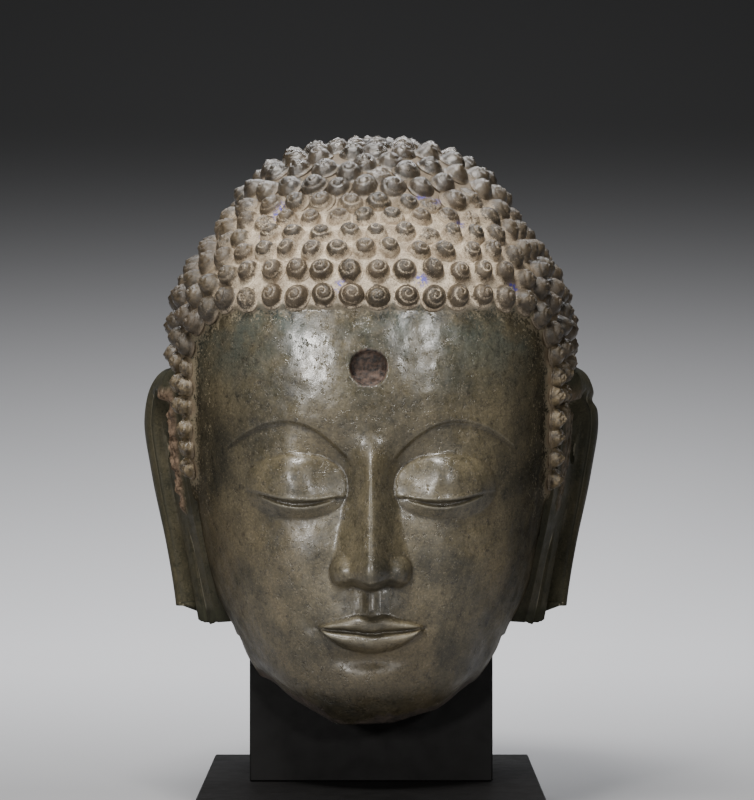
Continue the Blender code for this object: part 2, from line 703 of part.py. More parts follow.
def box(name, low, high, material):
    work = bmesh.new()
    bmesh.ops.create_cube(work, size=1.0)
    for vertex in work.verts:
        vertex.co = Vector(h if c > 0 else l for c, l, h in zip(vertex.co, low, high))
    mesh = bpy.data.meshes.new(name)
    work.to_mesh(mesh)
    work.free()
    return new_object(name, mesh, material)


def guide(item):
    item.hide_render = True
    item.display_type = "WIRE"
    return item


def apply_boolean(item, operation, other):
    modifier = item.modifiers.new(other.name, "BOOLEAN")
    modifier.operation = operation
    modifier.object = guide(other)


def build_stand(black):
    """The foot slab and the post, which carries the head behind its chin."""
    foot = box(
        "foot_slab",
        (-FOOT_WIDTH / 2, AXIS_Y - POST_FRONT - FOOT_TOE, 0),
        (FOOT_WIDTH / 2, AXIS_Y - POST_FRONT + POST_DEPTH + FOOT_HEEL, FOOT_HEIGHT),
        black,
    )
    post = box(
        "support_post",
        (-POST_WIDTH / 2, AXIS_Y - POST_FRONT, FOOT_HEIGHT + REST_GAP),
        (POST_WIDTH / 2, AXIS_Y - POST_FRONT + POST_DEPTH, FOOT_HEIGHT + POST_HEIGHT),
        black,
    )
    for item in (foot, post):
        bevel = item.modifiers.new("worn_edges", "BEVEL")
        bevel.width = STAND_BEVEL
        bevel.segments = 1


def build_head(stone):
    """The head with its two ears, cut off flat where it rests on the post."""
    seat = FOOT_HEIGHT + POST_HEIGHT + REST_GAP
    place = (0, AXIS_Y, seat - SEAT * FINGER)
    head = new_object("stone_head", head_mesh(), stone)
    head.location = place
    for side, name in ((-1, "right_ear"), (1, "left_ear")):
        ear = new_object(name, ear_mesh(side), stone)
        ear.location = place
        apply_boolean(head, "UNION", ear)
    reach = HEAD_PROFILE[8][1] * FINGER
    low = (-reach, AXIS_Y - POST_FRONT - BREAK_CLEARANCE, FOOT_HEIGHT)
    neck = box("neck_break", low, (reach, AXIS_Y + 2 * reach, seat), stone)
    apply_boolean(head, "DIFFERENCE", neck)


def main():
    for item in list(bpy.data.objects):
        bpy.data.objects.remove(item, do_unlink=True)
    build_stand(new_material(*BLACK))
    build_head(new_material(*STONE))


main()
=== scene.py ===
"""The looks of the stone buddha head: polished dark stone, dusty snail curls and a black stand.

The forms repeat the solids' own rules, with a finer face, real spirals on the curls and rough
breaks. Sizes are in metres, or in fingers, the twelfths of the face's height.
"""

import math

import bpy
import numpy as np
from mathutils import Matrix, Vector


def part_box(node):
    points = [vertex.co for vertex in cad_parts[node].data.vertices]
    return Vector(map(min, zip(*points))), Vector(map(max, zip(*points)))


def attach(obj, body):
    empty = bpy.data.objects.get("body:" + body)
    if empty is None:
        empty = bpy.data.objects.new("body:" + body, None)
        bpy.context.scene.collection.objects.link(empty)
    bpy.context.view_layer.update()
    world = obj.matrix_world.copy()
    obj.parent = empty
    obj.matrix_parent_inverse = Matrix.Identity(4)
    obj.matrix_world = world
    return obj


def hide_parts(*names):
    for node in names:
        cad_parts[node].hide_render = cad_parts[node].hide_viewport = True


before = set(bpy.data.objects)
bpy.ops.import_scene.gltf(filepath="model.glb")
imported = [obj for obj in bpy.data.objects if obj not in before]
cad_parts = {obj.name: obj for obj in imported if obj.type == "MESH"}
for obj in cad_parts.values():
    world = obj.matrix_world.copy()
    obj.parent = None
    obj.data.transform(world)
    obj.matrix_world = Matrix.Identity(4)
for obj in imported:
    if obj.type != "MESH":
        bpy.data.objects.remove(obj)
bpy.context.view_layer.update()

# Driving sizes, as in the solids
FINGER = 0.0345
POST_FRONT = 0.065
REST_GAP = 0.0003
BREAK_CLEARANCE = 0.003
CURL_PITCH = 0.0271
CURL_ROWS = 0.0212
CURL_HEIGHT = 0.014
CURL_RADIUS = 0.0122
SOCKET_RADIUS = 0.0182
SOCKET_DEPTH = 0.011

SEAT = 2.29
BACK_RIM = 1.9
CHIN_BREAK = 0.28
HAIRLINE = 12.0
FACE_HALF = 5.33
TEMPLE_CORNER = 1.5
SIDE_HAIR_END = 6.3
NAPE_HAIR_END = 3.7
FIRST_CURLS = 0.32
SECOND_CURLS = 1.10
SIDE_CLOSER = 0.2
CLOSEST_CURLS = 0.84
HAIR_MARGIN = 0.27  # no curl stands closer to the edge of the hair
LOWER_ROWS = 14  # rows of curls below the hairline, down to the nape
SETTLED_CROWN = 18.2
SKIN_INSET = 0.11
RIM_EVENS_OUT = 4.5
SOCKET_X = -0.06
SOCKET_Z = 10.25
EYE_OUT = 2.2
EYE_HALF = 1.2
EYE_LEVEL = 6.6
EDGE_HALF = 0.06
UNDERSIDE = (0.0, -0.6, 0.8)  # where the broken underside comes together

# The frame places the head: it rests on the post
POST_LOW, POST_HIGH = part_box("support_post")
_, FOOT_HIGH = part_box("foot_slab")
AXIS_Y = POST_LOW[1] + POST_FRONT
HEAD_Z = POST_HIGH[2] + REST_GAP - SEAT * FINGER

# Level, half width, reach to the front and reach to the back of the head without its curls
HEAD_PROFILE = (
    (0.0, 3.85, 3.95, 3.6),
    (0.55, 4.10, 4.66, 3.9),
    (1.3, 4.32, 5.02, 4.15),
    (2.3, 4.62, 5.20, 4.5),
    (3.7, 4.97, 5.36, 4.75),
    (5.2, 5.27, 5.48, 5.35),
    (6.7, 5.54, 5.60, 6.0),
    (8.0, 5.73, 5.72, 6.35),
    (10.0, 5.90, 5.80, 6.6),
    (11.6, 5.93, 5.70, 6.55),
    (12.7, 5.66, 5.46, 6.2),
    (13.6, 5.12, 4.95, 5.6),
    (14.4, 4.52, 4.10, 4.85),
    (14.95, 4.16, 3.48, 4.35),
    (15.5, 3.86, 3.00, 4.05),
    (16.1, 3.28, 2.38, 3.45),
    (16.6, 2.48, 1.65, 2.62),
    (16.9, 1.38, 0.90, 1.45),
    (17.0, 0.0, 0.0, 0.0),
)

# The ear from its top down: level, rim out, rim back, root out and thickness at the rim
EAR_PROFILE = (
    (10.29, 6.10, -0.30, 5.86, 0.50),
    (9.9, 6.48, 0.45, 5.84, 0.56),
    (9.2, 6.78, 0.98, 5.80, 0.62),
    (8.6, 6.85, 1.15, 5.74, 0.66),
    (7.6, 6.72, 1.12, 5.62, 0.68),
    (6.5, 6.50, 0.92, 5.44, 0.68),
    (5.4, 6.23, 0.66, 5.22, 0.68),
    (4.3, 6.00, 0.42, 4.98, 0.66),
    (3.4, 5.86, 0.28, 4.78, 0.64),
    (2.6, 5.78, 0.22, 4.58, 0.62),
)
EAR_TOP = 10.45
EAR_ROOT_Y = -1.42
EAR_ROOT_THICKNESS = 1.5
LOBE_STEP = 0.42

# How far the rows of curls are turned from the middle of the brow, in shares of the pitch
ROW_SHIFT = 0.26

# How fine the meshes are
SKIN_TRIANGLES = 190000
FINE_TURN = 0.0068
MIDDLE_TURN = 0.014
COARSE_TURN = 0.028
FINE_ARC = 0.038
MIDDLE_ARC = 0.055
COARSE_ARC = 0.15
BREAK_RINGS = 34  # over the broken underside
EAR_ROWS = 150
CURL_RINGS = 15
CURL_SIDES = 26
DUST_REACH = (1.06, 1.12, 1.17)  # rings of dust around each curl, in shares of its radius
DUST_SUNK = 0.0015  # the last ring lies this far under the ground
GROOVE_DEPTH = 0.0013
SHARP_EDGE = 160.0  # how much a sharp edge bulges, per metre
HAIR_RAISED = 0.022  # the ground of the hair, in fingers

# Places seen from the front, in fingers: across and up
WORN_CURLS = ((0.25, 15.6), (0.75, 16.0), (1.84, 15.1), (1.1, 15.5))
BLUE_FLECKS = (
    *((-2.67, 14.98), (-2.81, 14.69), (-3.07, 14.16), (-0.86, 12.56)),
    *((1.43, 12.76), (1.54, 15.24), (1.83, 15.12), (2.52, 14.47), (4.11, 12.56)),
)

# The camera, as the photograph was taken
FOCAL_PIXELS = 2916.0
FRAME_HEIGHT = 800
HORIZON_ROW = 391
CAMERA_DISTANCE = 3.0
CAMERA_HEIGHT = 0.402
CAMERA_X = 0.006


# Forms


def smoothstep(low, high, value):
    t = np.clip((value - low) / (high - low), 0.0, 1.0)
    return t * t * (3.0 - 2.0 * t)


def bump(value, width):
    return np.exp(-((value / width) ** 2))


def smooth_max(a, b, width):
    """The greater of two reliefs, with a soft crease between them, and 0 where both are 0."""
    width = width * np.clip(np.maximum(a, b) / width, 1e-3, 1)
    h = np.clip(0.5 + 0.5 * (a - b) / width, 0, 1)
    return b + (a - b) * h + width * h * (1 - h)


def spline(knots, values):
    """A natural cubic spline through the rows of values at the knots."""
    x, y = np.asarray(knots, float), np.asarray(values, float)
    h = np.diff(x)
    n = len(x)
    system = np.eye(n)
    right = np.zeros_like(y)
    for i in range(1, n - 1):
        system[i, i - 1 : i + 2] = h[i - 1], 2 * (h[i - 1] + h[i]), h[i]
        right[i] = 6 * ((y[i + 1] - y[i]) / h[i] - (y[i] - y[i - 1]) / h[i - 1])
    curve = np.linalg.solve(system, right)

    def at(where):
        where = np.clip(np.asarray(where, float), x[0], x[-1])
        i = np.clip(np.searchsorted(x, where) - 1, 0, n - 2)
        shape = where.shape + (1,) * (y.ndim - 1)
        step = h[i].reshape(shape)
        b = (where - x[i]).reshape(shape) / step
        a = 1 - b
        bend = (a**3 - a) * curve[i] + (b**3 - b) * curve[i + 1]
        return a * y[i] + b * y[i + 1] + bend * step**2 / 6

    return at


def lengths_along(rows):
    steps = np.linalg.norm(np.diff(np.asarray(rows), axis=0), axis=1)
    return np.concatenate([[0.0], np.cumsum(steps)])


PITCH = CURL_PITCH / FINGER
STEP = 1e-3  # by which slopes are taken
PROFILE_ARC = lengths_along([(level, half) for level, half, _, _ in HEAD_PROFILE])
HEAD_ARC = PROFILE_ARC[-1]
head_profile = spline(PROFILE_ARC, HEAD_PROFILE)
ear_profile = spline([-row[0] for row in EAR_PROFILE], EAR_PROFILE)


def waves(points, length, seed, octaves=3):
    """Smooth uneven waves through space, between about -1 and 1, by which stone departs from its form."""
    random = np.random.default_rng(seed)
    total = np.zeros(points.shape[:-1])
    for octave in range(octaves):
        for _ in range(6):
            direction = random.normal(size=3)
            direction /= np.linalg.norm(direction)
            phase = random.uniform(0, 2 * math.pi)
            wave = points @ direction * (2 * math.pi * 2**octave / length) + phase
            total += np.sin(wave) / (6**0.5 * 1.7**octave)
    return total / 1.2


def broken_rim(turn):
    """The uneven lower edge of the stone: under the chin in front and up behind the jaw."""
    facing = np.cos(turn)
    rim = BACK_RIM * (1 - np.clip(facing, 0, 1)) ** 0.75 - CHIN_BREAK * bump(1 - facing, 0.16)
    return rim + 0.05 * np.sin(7 * turn + 0.6) + 0.035 * np.sin(16 * turn + 2.2)


def base_point(turn, arc):
    """The head without curls or features.

    turn is 0 at the face and pi at the nape, and arc runs up the side from the rim of the jaw to
    the crown.
    """
    level, half, front, back = np.moveaxis(head_profile(arc), -1, 0)
    facing = np.cos(turn)
    reach = np.maximum(np.where(facing >= 0, front, back), 1e-9)
    half = np.maximum(half, 1e-9)
    power = 2.12 + 0.13 * facing
    radius = (np.abs(np.sin(turn) / half) ** power + np.abs(facing / reach) ** power) ** (-1 / power)
    height = level + broken_rim(turn) * (1 - smoothstep(0, RIM_EVENS_OUT, level))
    return np.stack([radius * np.sin(turn), -radius * facing, height], axis=-1)


def around(turn, arc):
    """From one step before a place to one step beyond it, along its ring and up the side."""
    along = base_point(turn + STEP, arc) - base_point(turn - STEP, arc)
    return along, base_point(turn, arc + STEP) - base_point(turn, arc - STEP)


def base_normal(turn, arc):
    normal = np.cross(*around(turn, np.minimum(arc, HEAD_ARC - 0.02)))
    return normal / np.linalg.norm(normal, axis=-1, keepdims=True)


def halved(high, beyond):
    """Where, between 0 and high, the test beyond becomes true."""
    low = np.zeros_like(high)
    for _ in range(40):
        middle = (low + high) / 2
        past = beyond(middle)
        low, high = np.where(past, low, middle), np.where(past, middle, high)
    return (low + high) / 2


def arc_at(turn, height):
    """How far up the side a point of the given turn and height lies."""
    return halved(np.full_like(turn, HEAD_ARC), lambda arc: base_point(turn, arc)[..., 2] > height)


def seen_from_front(across, height):
    """The turn and arc of the point seen at a place of the head's front."""
    side = np.full_like(across, math.pi / 2)
    turn = halved(side, lambda turn: base_point(turn, arc_at(turn, height))[..., 0] > np.abs(across))
    return turn * np.sign(across), arc_at(turn, height)


def moved(turn, arc, shift):
    """The turn and arc after a small shift through space, as far as it runs along the head."""
    along, up = (way / (2 * STEP) for way in around(turn, arc))
    aa, uu, au = (along**2).sum(-1), (up**2).sum(-1), (along * up).sum(-1)
    da, du = (along * shift).sum(-1), (up * shift).sum(-1)
    area = aa * uu - au**2
    return turn + (uu * da - au * du) / area, arc + (aa * du - au * da) / area


def lowest_hair(turn):
    behind = smoothstep(math.radians(85), math.radians(140), np.abs(turn))
    return SIDE_HAIR_END + (NAPE_HAIR_END - SIDE_HAIR_END) * behind


def hair_distance(turn, arc):
    """How far inside the hair a point of the head lies, in fingers, and negative on the skin."""
    point = base_point(turn, arc)
    x, y, z = np.abs(point[..., 0]), point[..., 1], point[..., 2]
    over = np.maximum(x - (FACE_HALF - TEMPLE_CORNER), 0)
    above = np.maximum(z - (HAIRLINE - TEMPLE_CORNER), 0)
    inside = np.minimum(np.maximum(x - FACE_HALF, z - HAIRLINE) + TEMPLE_CORNER, 0)
    face_edge = inside + np.hypot(over, above) - TEMPLE_CORNER
    face_edge = np.where(y > -0.5, TEMPLE_CORNER, face_edge)
    return np.minimum(face_edge, z - lowest_hair(turn))


def spaced(points, apart):
    """Points every so often along a line of points."""
    points = np.asarray(points)
    lengths = lengths_along(points)
    count = max(2, round(lengths[-1] / apart) + 1)
    where = np.linspace(0, lengths[-1], count)
    return np.stack([np.interp(where, lengths, column) for column in points.T], axis=-1)


def beside_face(offset, apart):
    """A line along the left edge of the face, from the middle of the brow down, set off into the hair."""
    angles = np.linspace(math.pi / 2, 0, 12)
    across = FACE_HALF - TEMPLE_CORNER + TEMPLE_CORNER * np.cos(angles)
    height = HAIRLINE - TEMPLE_CORNER + TEMPLE_CORNER * np.sin(angles)
    line = spaced([(0.001, HAIRLINE), *zip(across, height), (FACE_HALF, SIDE_HAIR_END)], apart)
    turn, arc = seen_from_front(line[:, 0], line[:, 1])
    inward = np.cross(np.gradient(base_point(turn, arc), axis=0), base_normal(turn, arc))
    inward *= np.sign(inward[0, 2]) / np.linalg.norm(inward, axis=-1, keepdims=True)
    return moved(turn, arc, inward * offset)


def row_beside_face(offset, side, start):
    """A row of curls that follows the edge of the face, closer together before the ear."""
    turn, arc = beside_face(offset, 0.1)
    line = base_point(turn, arc)
    apart = PITCH * (1 - SIDE_CLOSER * (1 - smoothstep(10.0, 11.2, line[1:, 2])))
    lengths = np.concatenate([[0.0], np.cumsum(np.diff(lengths_along(line)) / apart)])
    where = np.arange(start, lengths[-1], 1.0)
    return side * np.interp(where, lengths, turn), np.interp(where, lengths, arc)


def ring_of_curls(arc, start):
    """Turns at equal steps around the head."""
    turns = np.linspace(0, 2 * math.pi, 1441)
    lengths = lengths_along(base_point(turns, np.full_like(turns, arc)))
    count = max(1, round(lengths[-1] / PITCH))
    return np.interp((np.arange(count) + start) % count * lengths[-1] / count, lengths, turns)


def behind_ear(turn, arc):
    """Whether an ear covers the place."""
    _, y, z = np.moveaxis(base_point(turn, arc), -1, 0)
    return (y > EAR_ROOT_Y - 0.1) & (y < ear_profile(-z)[..., 2] - 0.05) & (z < EAR_TOP)


def in_hair(turn, arc):
    return (hair_distance(turn, arc) > HAIR_MARGIN) & ~behind_ear(turn, arc)


def settled(turn, arc, held):
    """The curls after each has made room for its neighbours. The held ones stay put."""
    for _ in range(16):
        solid = base_point(turn, arc)
        apart = solid[:, None] - solid[None]
        distance = np.linalg.norm(apart, axis=-1) + 1e-9
        push = np.clip(1 - distance / (1.08 * PITCH), 0, 1) * 0.5 * PITCH
        np.fill_diagonal(push, 0)
        shift = (apart / distance[..., None] * push[..., None]).sum(axis=1)
        new_turn, new_arc = moved(turn, arc, shift)
        free = ~held & in_hair(new_turn, new_arc)
        turn, arc = np.where(free, new_turn, turn), np.where(free, new_arc, arc)
    return turn, arc


def curl_sites():
    """The turn and arc of each curl: two rows along the face, then rings, packed where they meet."""
    rows = []
    for offset in (FIRST_CURLS, SECOND_CURLS):
        rows.append(row_beside_face(offset, 1, ROW_SHIFT))
        rows.append(row_beside_face(offset, -1, 1 - ROW_SHIFT))
    turn, arc = np.concatenate(rows, axis=1)
    low = (base_point(turn, arc)[..., 2] < SIDE_HAIR_END) | behind_ear(turn, arc)
    turn, arc = turn[~low], arc[~low]
    first = float(arc_at(np.array(0.0), np.array(HAIRLINE + SECOND_CURLS)))
    count = round((HEAD_ARC - first) / (CURL_ROWS / FINGER))
    row = (HEAD_ARC - first) / count
    more = []
    for index in [*range(1, count), *range(0, -LOWER_ROWS, -1)]:
        ring = first + index * row
        more += [(place, ring) for place in ring_of_curls(ring, ROW_SHIFT + index % 2 / 2)]
    for ring in np.arange(first - LOWER_ROWS * row, HEAD_ARC, 0.15):
        more += [(place, ring) for place in np.linspace(0, 2 * math.pi, 240)]
    more = np.array(more)
    more = more[in_hair(*more.T)]
    spots = base_point(*more.T)
    free = np.ones(len(spots), bool)
    for point in base_point(turn, arc):
        free &= np.linalg.norm(spots - point, axis=-1) > CLOSEST_CURLS * PITCH
    chosen = []
    while free.any():
        chosen.append(int(np.argmax(free)))
        free &= np.linalg.norm(spots - spots[chosen[-1]], axis=-1) > CLOSEST_CURLS * PITCH
    held = np.arange(len(turn) + len(chosen)) < len(turn)
    turn, arc = np.append(turn, more[chosen, 0]), np.append(arc, more[chosen, 1])
    held |= arc > SETTLED_CROWN
    spread = np.random.default_rng(11).normal(0, 0.03, (2, len(turn)))
    spread[:, arc > SETTLED_CROWN] = 0
    turn, arc = settled(turn, arc, held)
    turn, arc = turn + spread[0] / 5, arc + spread[1]
    return (turn + math.pi) % (2 * math.pi) - math.pi, arc


# The face, calm and on the canon's proportions

nose_bridge = spline(
    (3.7, 4.0, 4.3, 4.6, 5.2, 6.0, 6.8, 7.4, 8.0, 8.7),
    (0.90, 1.12, 1.25, 1.25, 1.08, 0.84, 0.63, 0.46, 0.26, 0.0),
)
nose_foot = spline(
    (3.7, 4.4, 5.0, 5.8, 6.6, 7.4, 8.2, 8.7),
    (1.2, 1.28, 1.16, 0.96, 0.80, 0.74, 0.9, 1.1),
)


def brow_height(x):
    """The brow: an arch from the root of the nose out to the temple."""
    inner = 1.3 * ((x - 2.5) / 2.0) ** 2
    outer = 1.0 * ((x - 2.5) / 2.0) ** 2
    return 8.72 - np.where(x < 2.5, inner, outer)


def eye_edges(x):
    """The edges of the upper and of the under lid, and how far along the eye x is."""
    along = np.clip((x - EYE_OUT) / EYE_HALF, -1, 1)
    bow = 1 - along**2
    upper = EYE_LEVEL - 0.17 * bow + 0.07 * along
    return upper, upper - 0.15 * bow, along


def lip_edges(x):
    """The upper edge, the parting and the lower edge of the lips."""
    parting = 2.67 + 0.035 * x**2 - 0.05 * bump(x, 0.35)
    upper = parting + 0.46 * np.clip(1 - (x / 1.62) ** 2, 0, 1) + 0.06 * bump(x - 0.36, 0.24)
    lower = parting - 0.58 * np.clip(1 - (x / 1.5) ** 2.4, 0, 1) ** 0.8
    return upper, parting, lower


def brow_and_lids(x, z):
    relief = -0.38 * bump(x - 1.15, 0.8) * bump(z - 7.2, 0.95)
    under_brow = brow_height(x) - z
    ends = smoothstep(0.3, 1.0, x) * (1 - smoothstep(3.9, 4.6, x))
    step = smoothstep(-0.04, 0.10, under_brow) * bump(np.maximum(under_brow, 0), 1.2)
    relief -= 0.11 * ends * step

    inside = 1 - (np.abs(x - EYE_OUT) / 1.52) ** 2.2 - (np.abs(z - EYE_LEVEL - 0.2) / 0.98) ** 2.2
    upper_lid = 0.44 * np.clip(inside, 0, 1) ** 0.6
    inside = 1 - (np.abs(x - EYE_OUT) / 1.5) ** 2.2 - (np.abs(z - EYE_LEVEL - 0.1) / 0.8) ** 2.2
    under_lid = 0.34 * np.clip(inside, 0, 1) ** 0.95
    upper, under, along = eye_edges(x)
    above = smoothstep(-0.03, 0.02, z - upper)
    below = smoothstep(-0.02, 0.03, under - z)
    slit = 0.13 * (1 - along**2) ** 0.5
    relief += upper_lid * above + under_lid * (1 - above) - slit * (1 - above) * (1 - below)
    rim = (1 - along**2) ** 0.5
    relief += 0.03 * rim * (bump(z - under + 0.06, 0.07) + bump(z - upper - 0.07, 0.06))
    return relief


def nose(x, z):
    across = np.clip(x / nose_foot(z), 0, 1)
    ridge = nose_bridge(z) * (0.41 * (1 + np.cos(math.pi * across)) + 0.18 * bump(x, 0.34))
    ridge *= 1 - smoothstep(7.3, 8.7, z)
    tip = 1.20 * np.clip(1 - (x / 0.62) ** 2 - ((z - 4.45) / 0.62) ** 2, 0, 1) ** 0.5
    wing = 0.60 * np.clip(1 - ((x - 0.74) / 0.46) ** 2 - ((z - 4.40) / 0.50) ** 2, 0, 1) ** 0.6
    form = smooth_max(smooth_max(ridge, tip, 0.25), wing, 0.30)
    arch = 0.12 * bump(x - 0.5, 0.3)
    return form * smoothstep(3.80 + arch, 4.14 + arch, z)


def mouth_and_chin(x, z):
    relief = 0.24 * bump(x, 1.6) * bump(z - 2.75, 1.1)
    relief += 0.24 * bump(x, 1.05) * bump(z - 1.1, 0.72)
    relief -= 0.15 * bump(x, 1.0) * bump(z - 1.85, 0.24)
    beside = smoothstep(3.05, 3.3, z) * (1 - smoothstep(3.75, 3.95, z))
    relief += (0.04 * bump(x - 0.3, 0.12) - 0.09 * bump(x, 0.17)) * beside
    top, parting, bottom = lip_edges(x)
    lips = 1 - smoothstep(1.46, 1.64, x)
    for edge, height in ((top, 0.26), (bottom, 0.31)):
        span = np.where(np.abs(edge - parting) < 1e-6, 1e-6, edge - parting)
        depth = np.clip((z - parting) / span, 0, 1)
        relief += height * lips * (4 * depth * (1 - depth)) ** 0.6
    relief -= 0.09 * bump(z - parting, 0.06) * (1 - smoothstep(1.45, 1.75, x))
    return relief - 0.07 * bump(x - 1.72, 0.26) * bump(z - parting, 0.26)


def face_relief(x, z):
    """How far the features stand in front of the plain head, in fingers."""
    x = np.abs(x)
    cheeks = 0.22 * bump(x - 2.8, 1.5) * bump(z - 4.6, 1.5)
    fold = bump(x - (1.5 + 0.3 * (4.3 - z)), 0.35) * smoothstep(2.7, 3.6, z)
    fold = fold * (1 - smoothstep(4.2, 5.0, z))
    return cheeks - 0.05 * fold + brow_and_lids(x, z) + nose(x, z) + mouth_and_chin(x, z)


def head_point(turn, arc, raised=0.0):
    """A point of the carved head, raised over the ground of the hair."""
    point = base_point(turn, arc)
    normal = base_normal(turn, arc)
    x, y, z = np.moveaxis(point, -1, 0)
    skin = 1 - smoothstep(-EDGE_HALF, EDGE_HALF, hair_distance(turn, arc))
    facing = smoothstep(1.2, 2.6, -y) * (1 - smoothstep(4.6, 5.3, np.abs(x)))
    from_socket = np.hypot(x - SOCKET_X, z - SOCKET_Z) * FINGER
    chip = 0.0012 * waves(point, 1.1, 5)
    sunk = (1 - smoothstep(SOCKET_RADIUS - 0.0012, SOCKET_RADIUS + 0.0002, from_socket + chip)) * (y < 0)
    floor = sunk * SOCKET_DEPTH / FINGER * (1 - 0.10 * waves(point, 0.35, 6))
    point = point + normal * np.expand_dims(raised - SKIN_INSET * skin, -1)
    point[..., 1] -= face_relief(x, z) * facing * skin - floor
    return point


def at_level(level):
    """The height in the frame of a level of the head."""
    return HEAD_Z + level * FINGER


def placed(points):
    """From fingers about the head's own origin to metres in the frame."""
    return points * FINGER + np.array([0.0, AXIS_Y, HEAD_Z])


# Meshes


def new_mesh(name, corners, faces):
    mesh = bpy.data.meshes.new(name)
    mesh.from_pydata(np.asarray(corners).tolist(), [], np.asarray(faces).tolist())
    mesh.shade_smooth()
    return mesh


def new_object(name, data):
    item = bpy.data.objects.new(name, data)
    bpy.context.scene.collection.objects.link(item)
    return item


def new_piece(name, mesh, material, slot, *nodes):
    piece = new_object(name, mesh)
    piece.data.materials.append(material)
    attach(piece, "root")
    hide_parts(*nodes)
    return piece


def stepped(knots, steps):
    """Values from the first knot to the last, with the given step on each stretch between them."""
    values = []
    for (start, end), step in zip(zip(knots, knots[1:]), steps):
        count = max(1, round((end - start) / step))
        values += list(np.linspace(start, end, count, endpoint=False))
    return np.array(values + [knots[-1]])


def closed_faces(rows, columns):
    """Faces over rows of points that run round, closed by a fan to one more point at either end."""
    ids = np.arange(rows * columns).reshape(-1, columns)
    beside = np.roll(ids, -1, axis=1)
    quads = np.stack([ids[:-1], beside[:-1], beside[1:], ids[1:]], axis=-1).reshape(-1, 4)
    fans = [(beside[0, i], ids[0, i], ids.size) for i in range(columns)]
    fans += [(ids[-1, i], beside[-1, i], ids.size + 1) for i in range(columns)]
    return quads.tolist() + fans


def head_mesh():
    """The whole head as one closed surface: outside in rings, then the broken underside."""
    turns = stepped(
        (-math.pi, -1.35, -1.15, 1.15, 1.35, math.pi),
        (COARSE_TURN, MIDDLE_TURN, FINE_TURN, MIDDLE_TURN, COARSE_TURN),
    )[:-1]
    arcs = stepped(
        (0.0, 1.6, 9.6, 12.75, HEAD_ARC - 0.05),
        (MIDDLE_ARC, FINE_ARC, MIDDLE_ARC, COARSE_ARC),
    )
    columns = len(turns)
    turn, arc = np.meshgrid(turns, arcs)
    outside = head_point(turn, arc, HAIR_RAISED * smoothstep(0.0, 0.15, hair_distance(turn, arc)))
    uneven = waves(outside, 2.4, 1) * 0.012 + waves(outside, 0.5, 2) * 0.003 - 0.012
    outside = outside + base_normal(turn, arc) * uneven[..., None]
    torn = np.linspace(0, 1, BREAK_RINGS + 2)[1:-1, None]
    rim = outside[0]
    under = rim * (1 - torn[..., None]) + np.array(UNDERSIDE) * torn[..., None]
    rough = waves(under, 1.6, 3) * 0.09 + waves(under, 0.4, 4) * 0.03
    under[..., 2] += rough * smoothstep(0, 0.12, torn)
    rows = np.concatenate([under[::-1], outside])
    crown = head_point(np.array(0.0), np.array(HEAD_ARC))
    corners = np.concatenate([rows.reshape(-1, 3), [UNDERSIDE], [crown]])
    behind = corners[:, 1] > -(POST_FRONT + BREAK_CLEARANCE) / FINGER
    corners[:, 2] = np.where(behind, np.maximum(corners[:, 2], SEAT), corners[:, 2])

    mesh = bpy.data.meshes.new("head_stone")
    mesh.from_pydata(placed(corners).tolist(), [], closed_faces(rows.shape[0], columns))
    return mesh


def thinned(mesh, triangles):
    """The mesh with fewer triangles where it is flat."""
    count = sum(len(face.vertices) - 2 for face in mesh.polygons)
    helper = new_object("helper", mesh)
    helper.modifiers.new("thin", "DECIMATE").ratio = min(1.0, triangles / count)
    shape = helper.evaluated_get(bpy.context.evaluated_depsgraph_get())
    thin = bpy.data.meshes.new_from_object(shape)
    bpy.data.objects.remove(helper)
    thin.shade_smooth()
    return thin


def corner_arrays(mesh):
    count = len(mesh.vertices)
    places = np.empty(count * 3, dtype=np.float32)
    mesh.vertices.foreach_get("co", places)
    normals = np.empty(count * 3, dtype=np.float32)
    mesh.vertices.foreach_get("normal", normals)
    edges = np.empty(len(mesh.edges) * 2, dtype=np.int32)
    mesh.edges.foreach_get("vertices", edges)
    return places.reshape(-1, 3), normals.reshape(-1, 3), edges.reshape(-1, 2)


def add_value(mesh, name, values):
    """One number for each point, which a material reads by its name."""
    data = mesh.attributes.new(name, "FLOAT", "POINT").data
    data.foreach_set("value", np.asarray(values, dtype=np.float32))


def bulge(mesh, rounds):
    """How far each point stands out from its neighbours, positive on ridges, per metre."""
    places, normals, edges = corner_arrays(mesh)
    a, b = edges.T
    apart = places[b] - places[a]
    square = np.maximum((apart**2).sum(axis=1), 1e-12)
    total, count = np.zeros(len(places)), np.zeros(len(places))
    for end, sign in ((a, -1), (b, 1)):
        np.add.at(total, end, sign * (normals[end] * apart).sum(axis=1) / square)
        np.add.at(count, end, 1)
    value = total / np.maximum(count, 1)
    for _ in range(rounds):
        total = value * 1.0
        np.add.at(total, a, value[b])
        np.add.at(total, b, value[a])
        value = total / (count + 1)
    return value


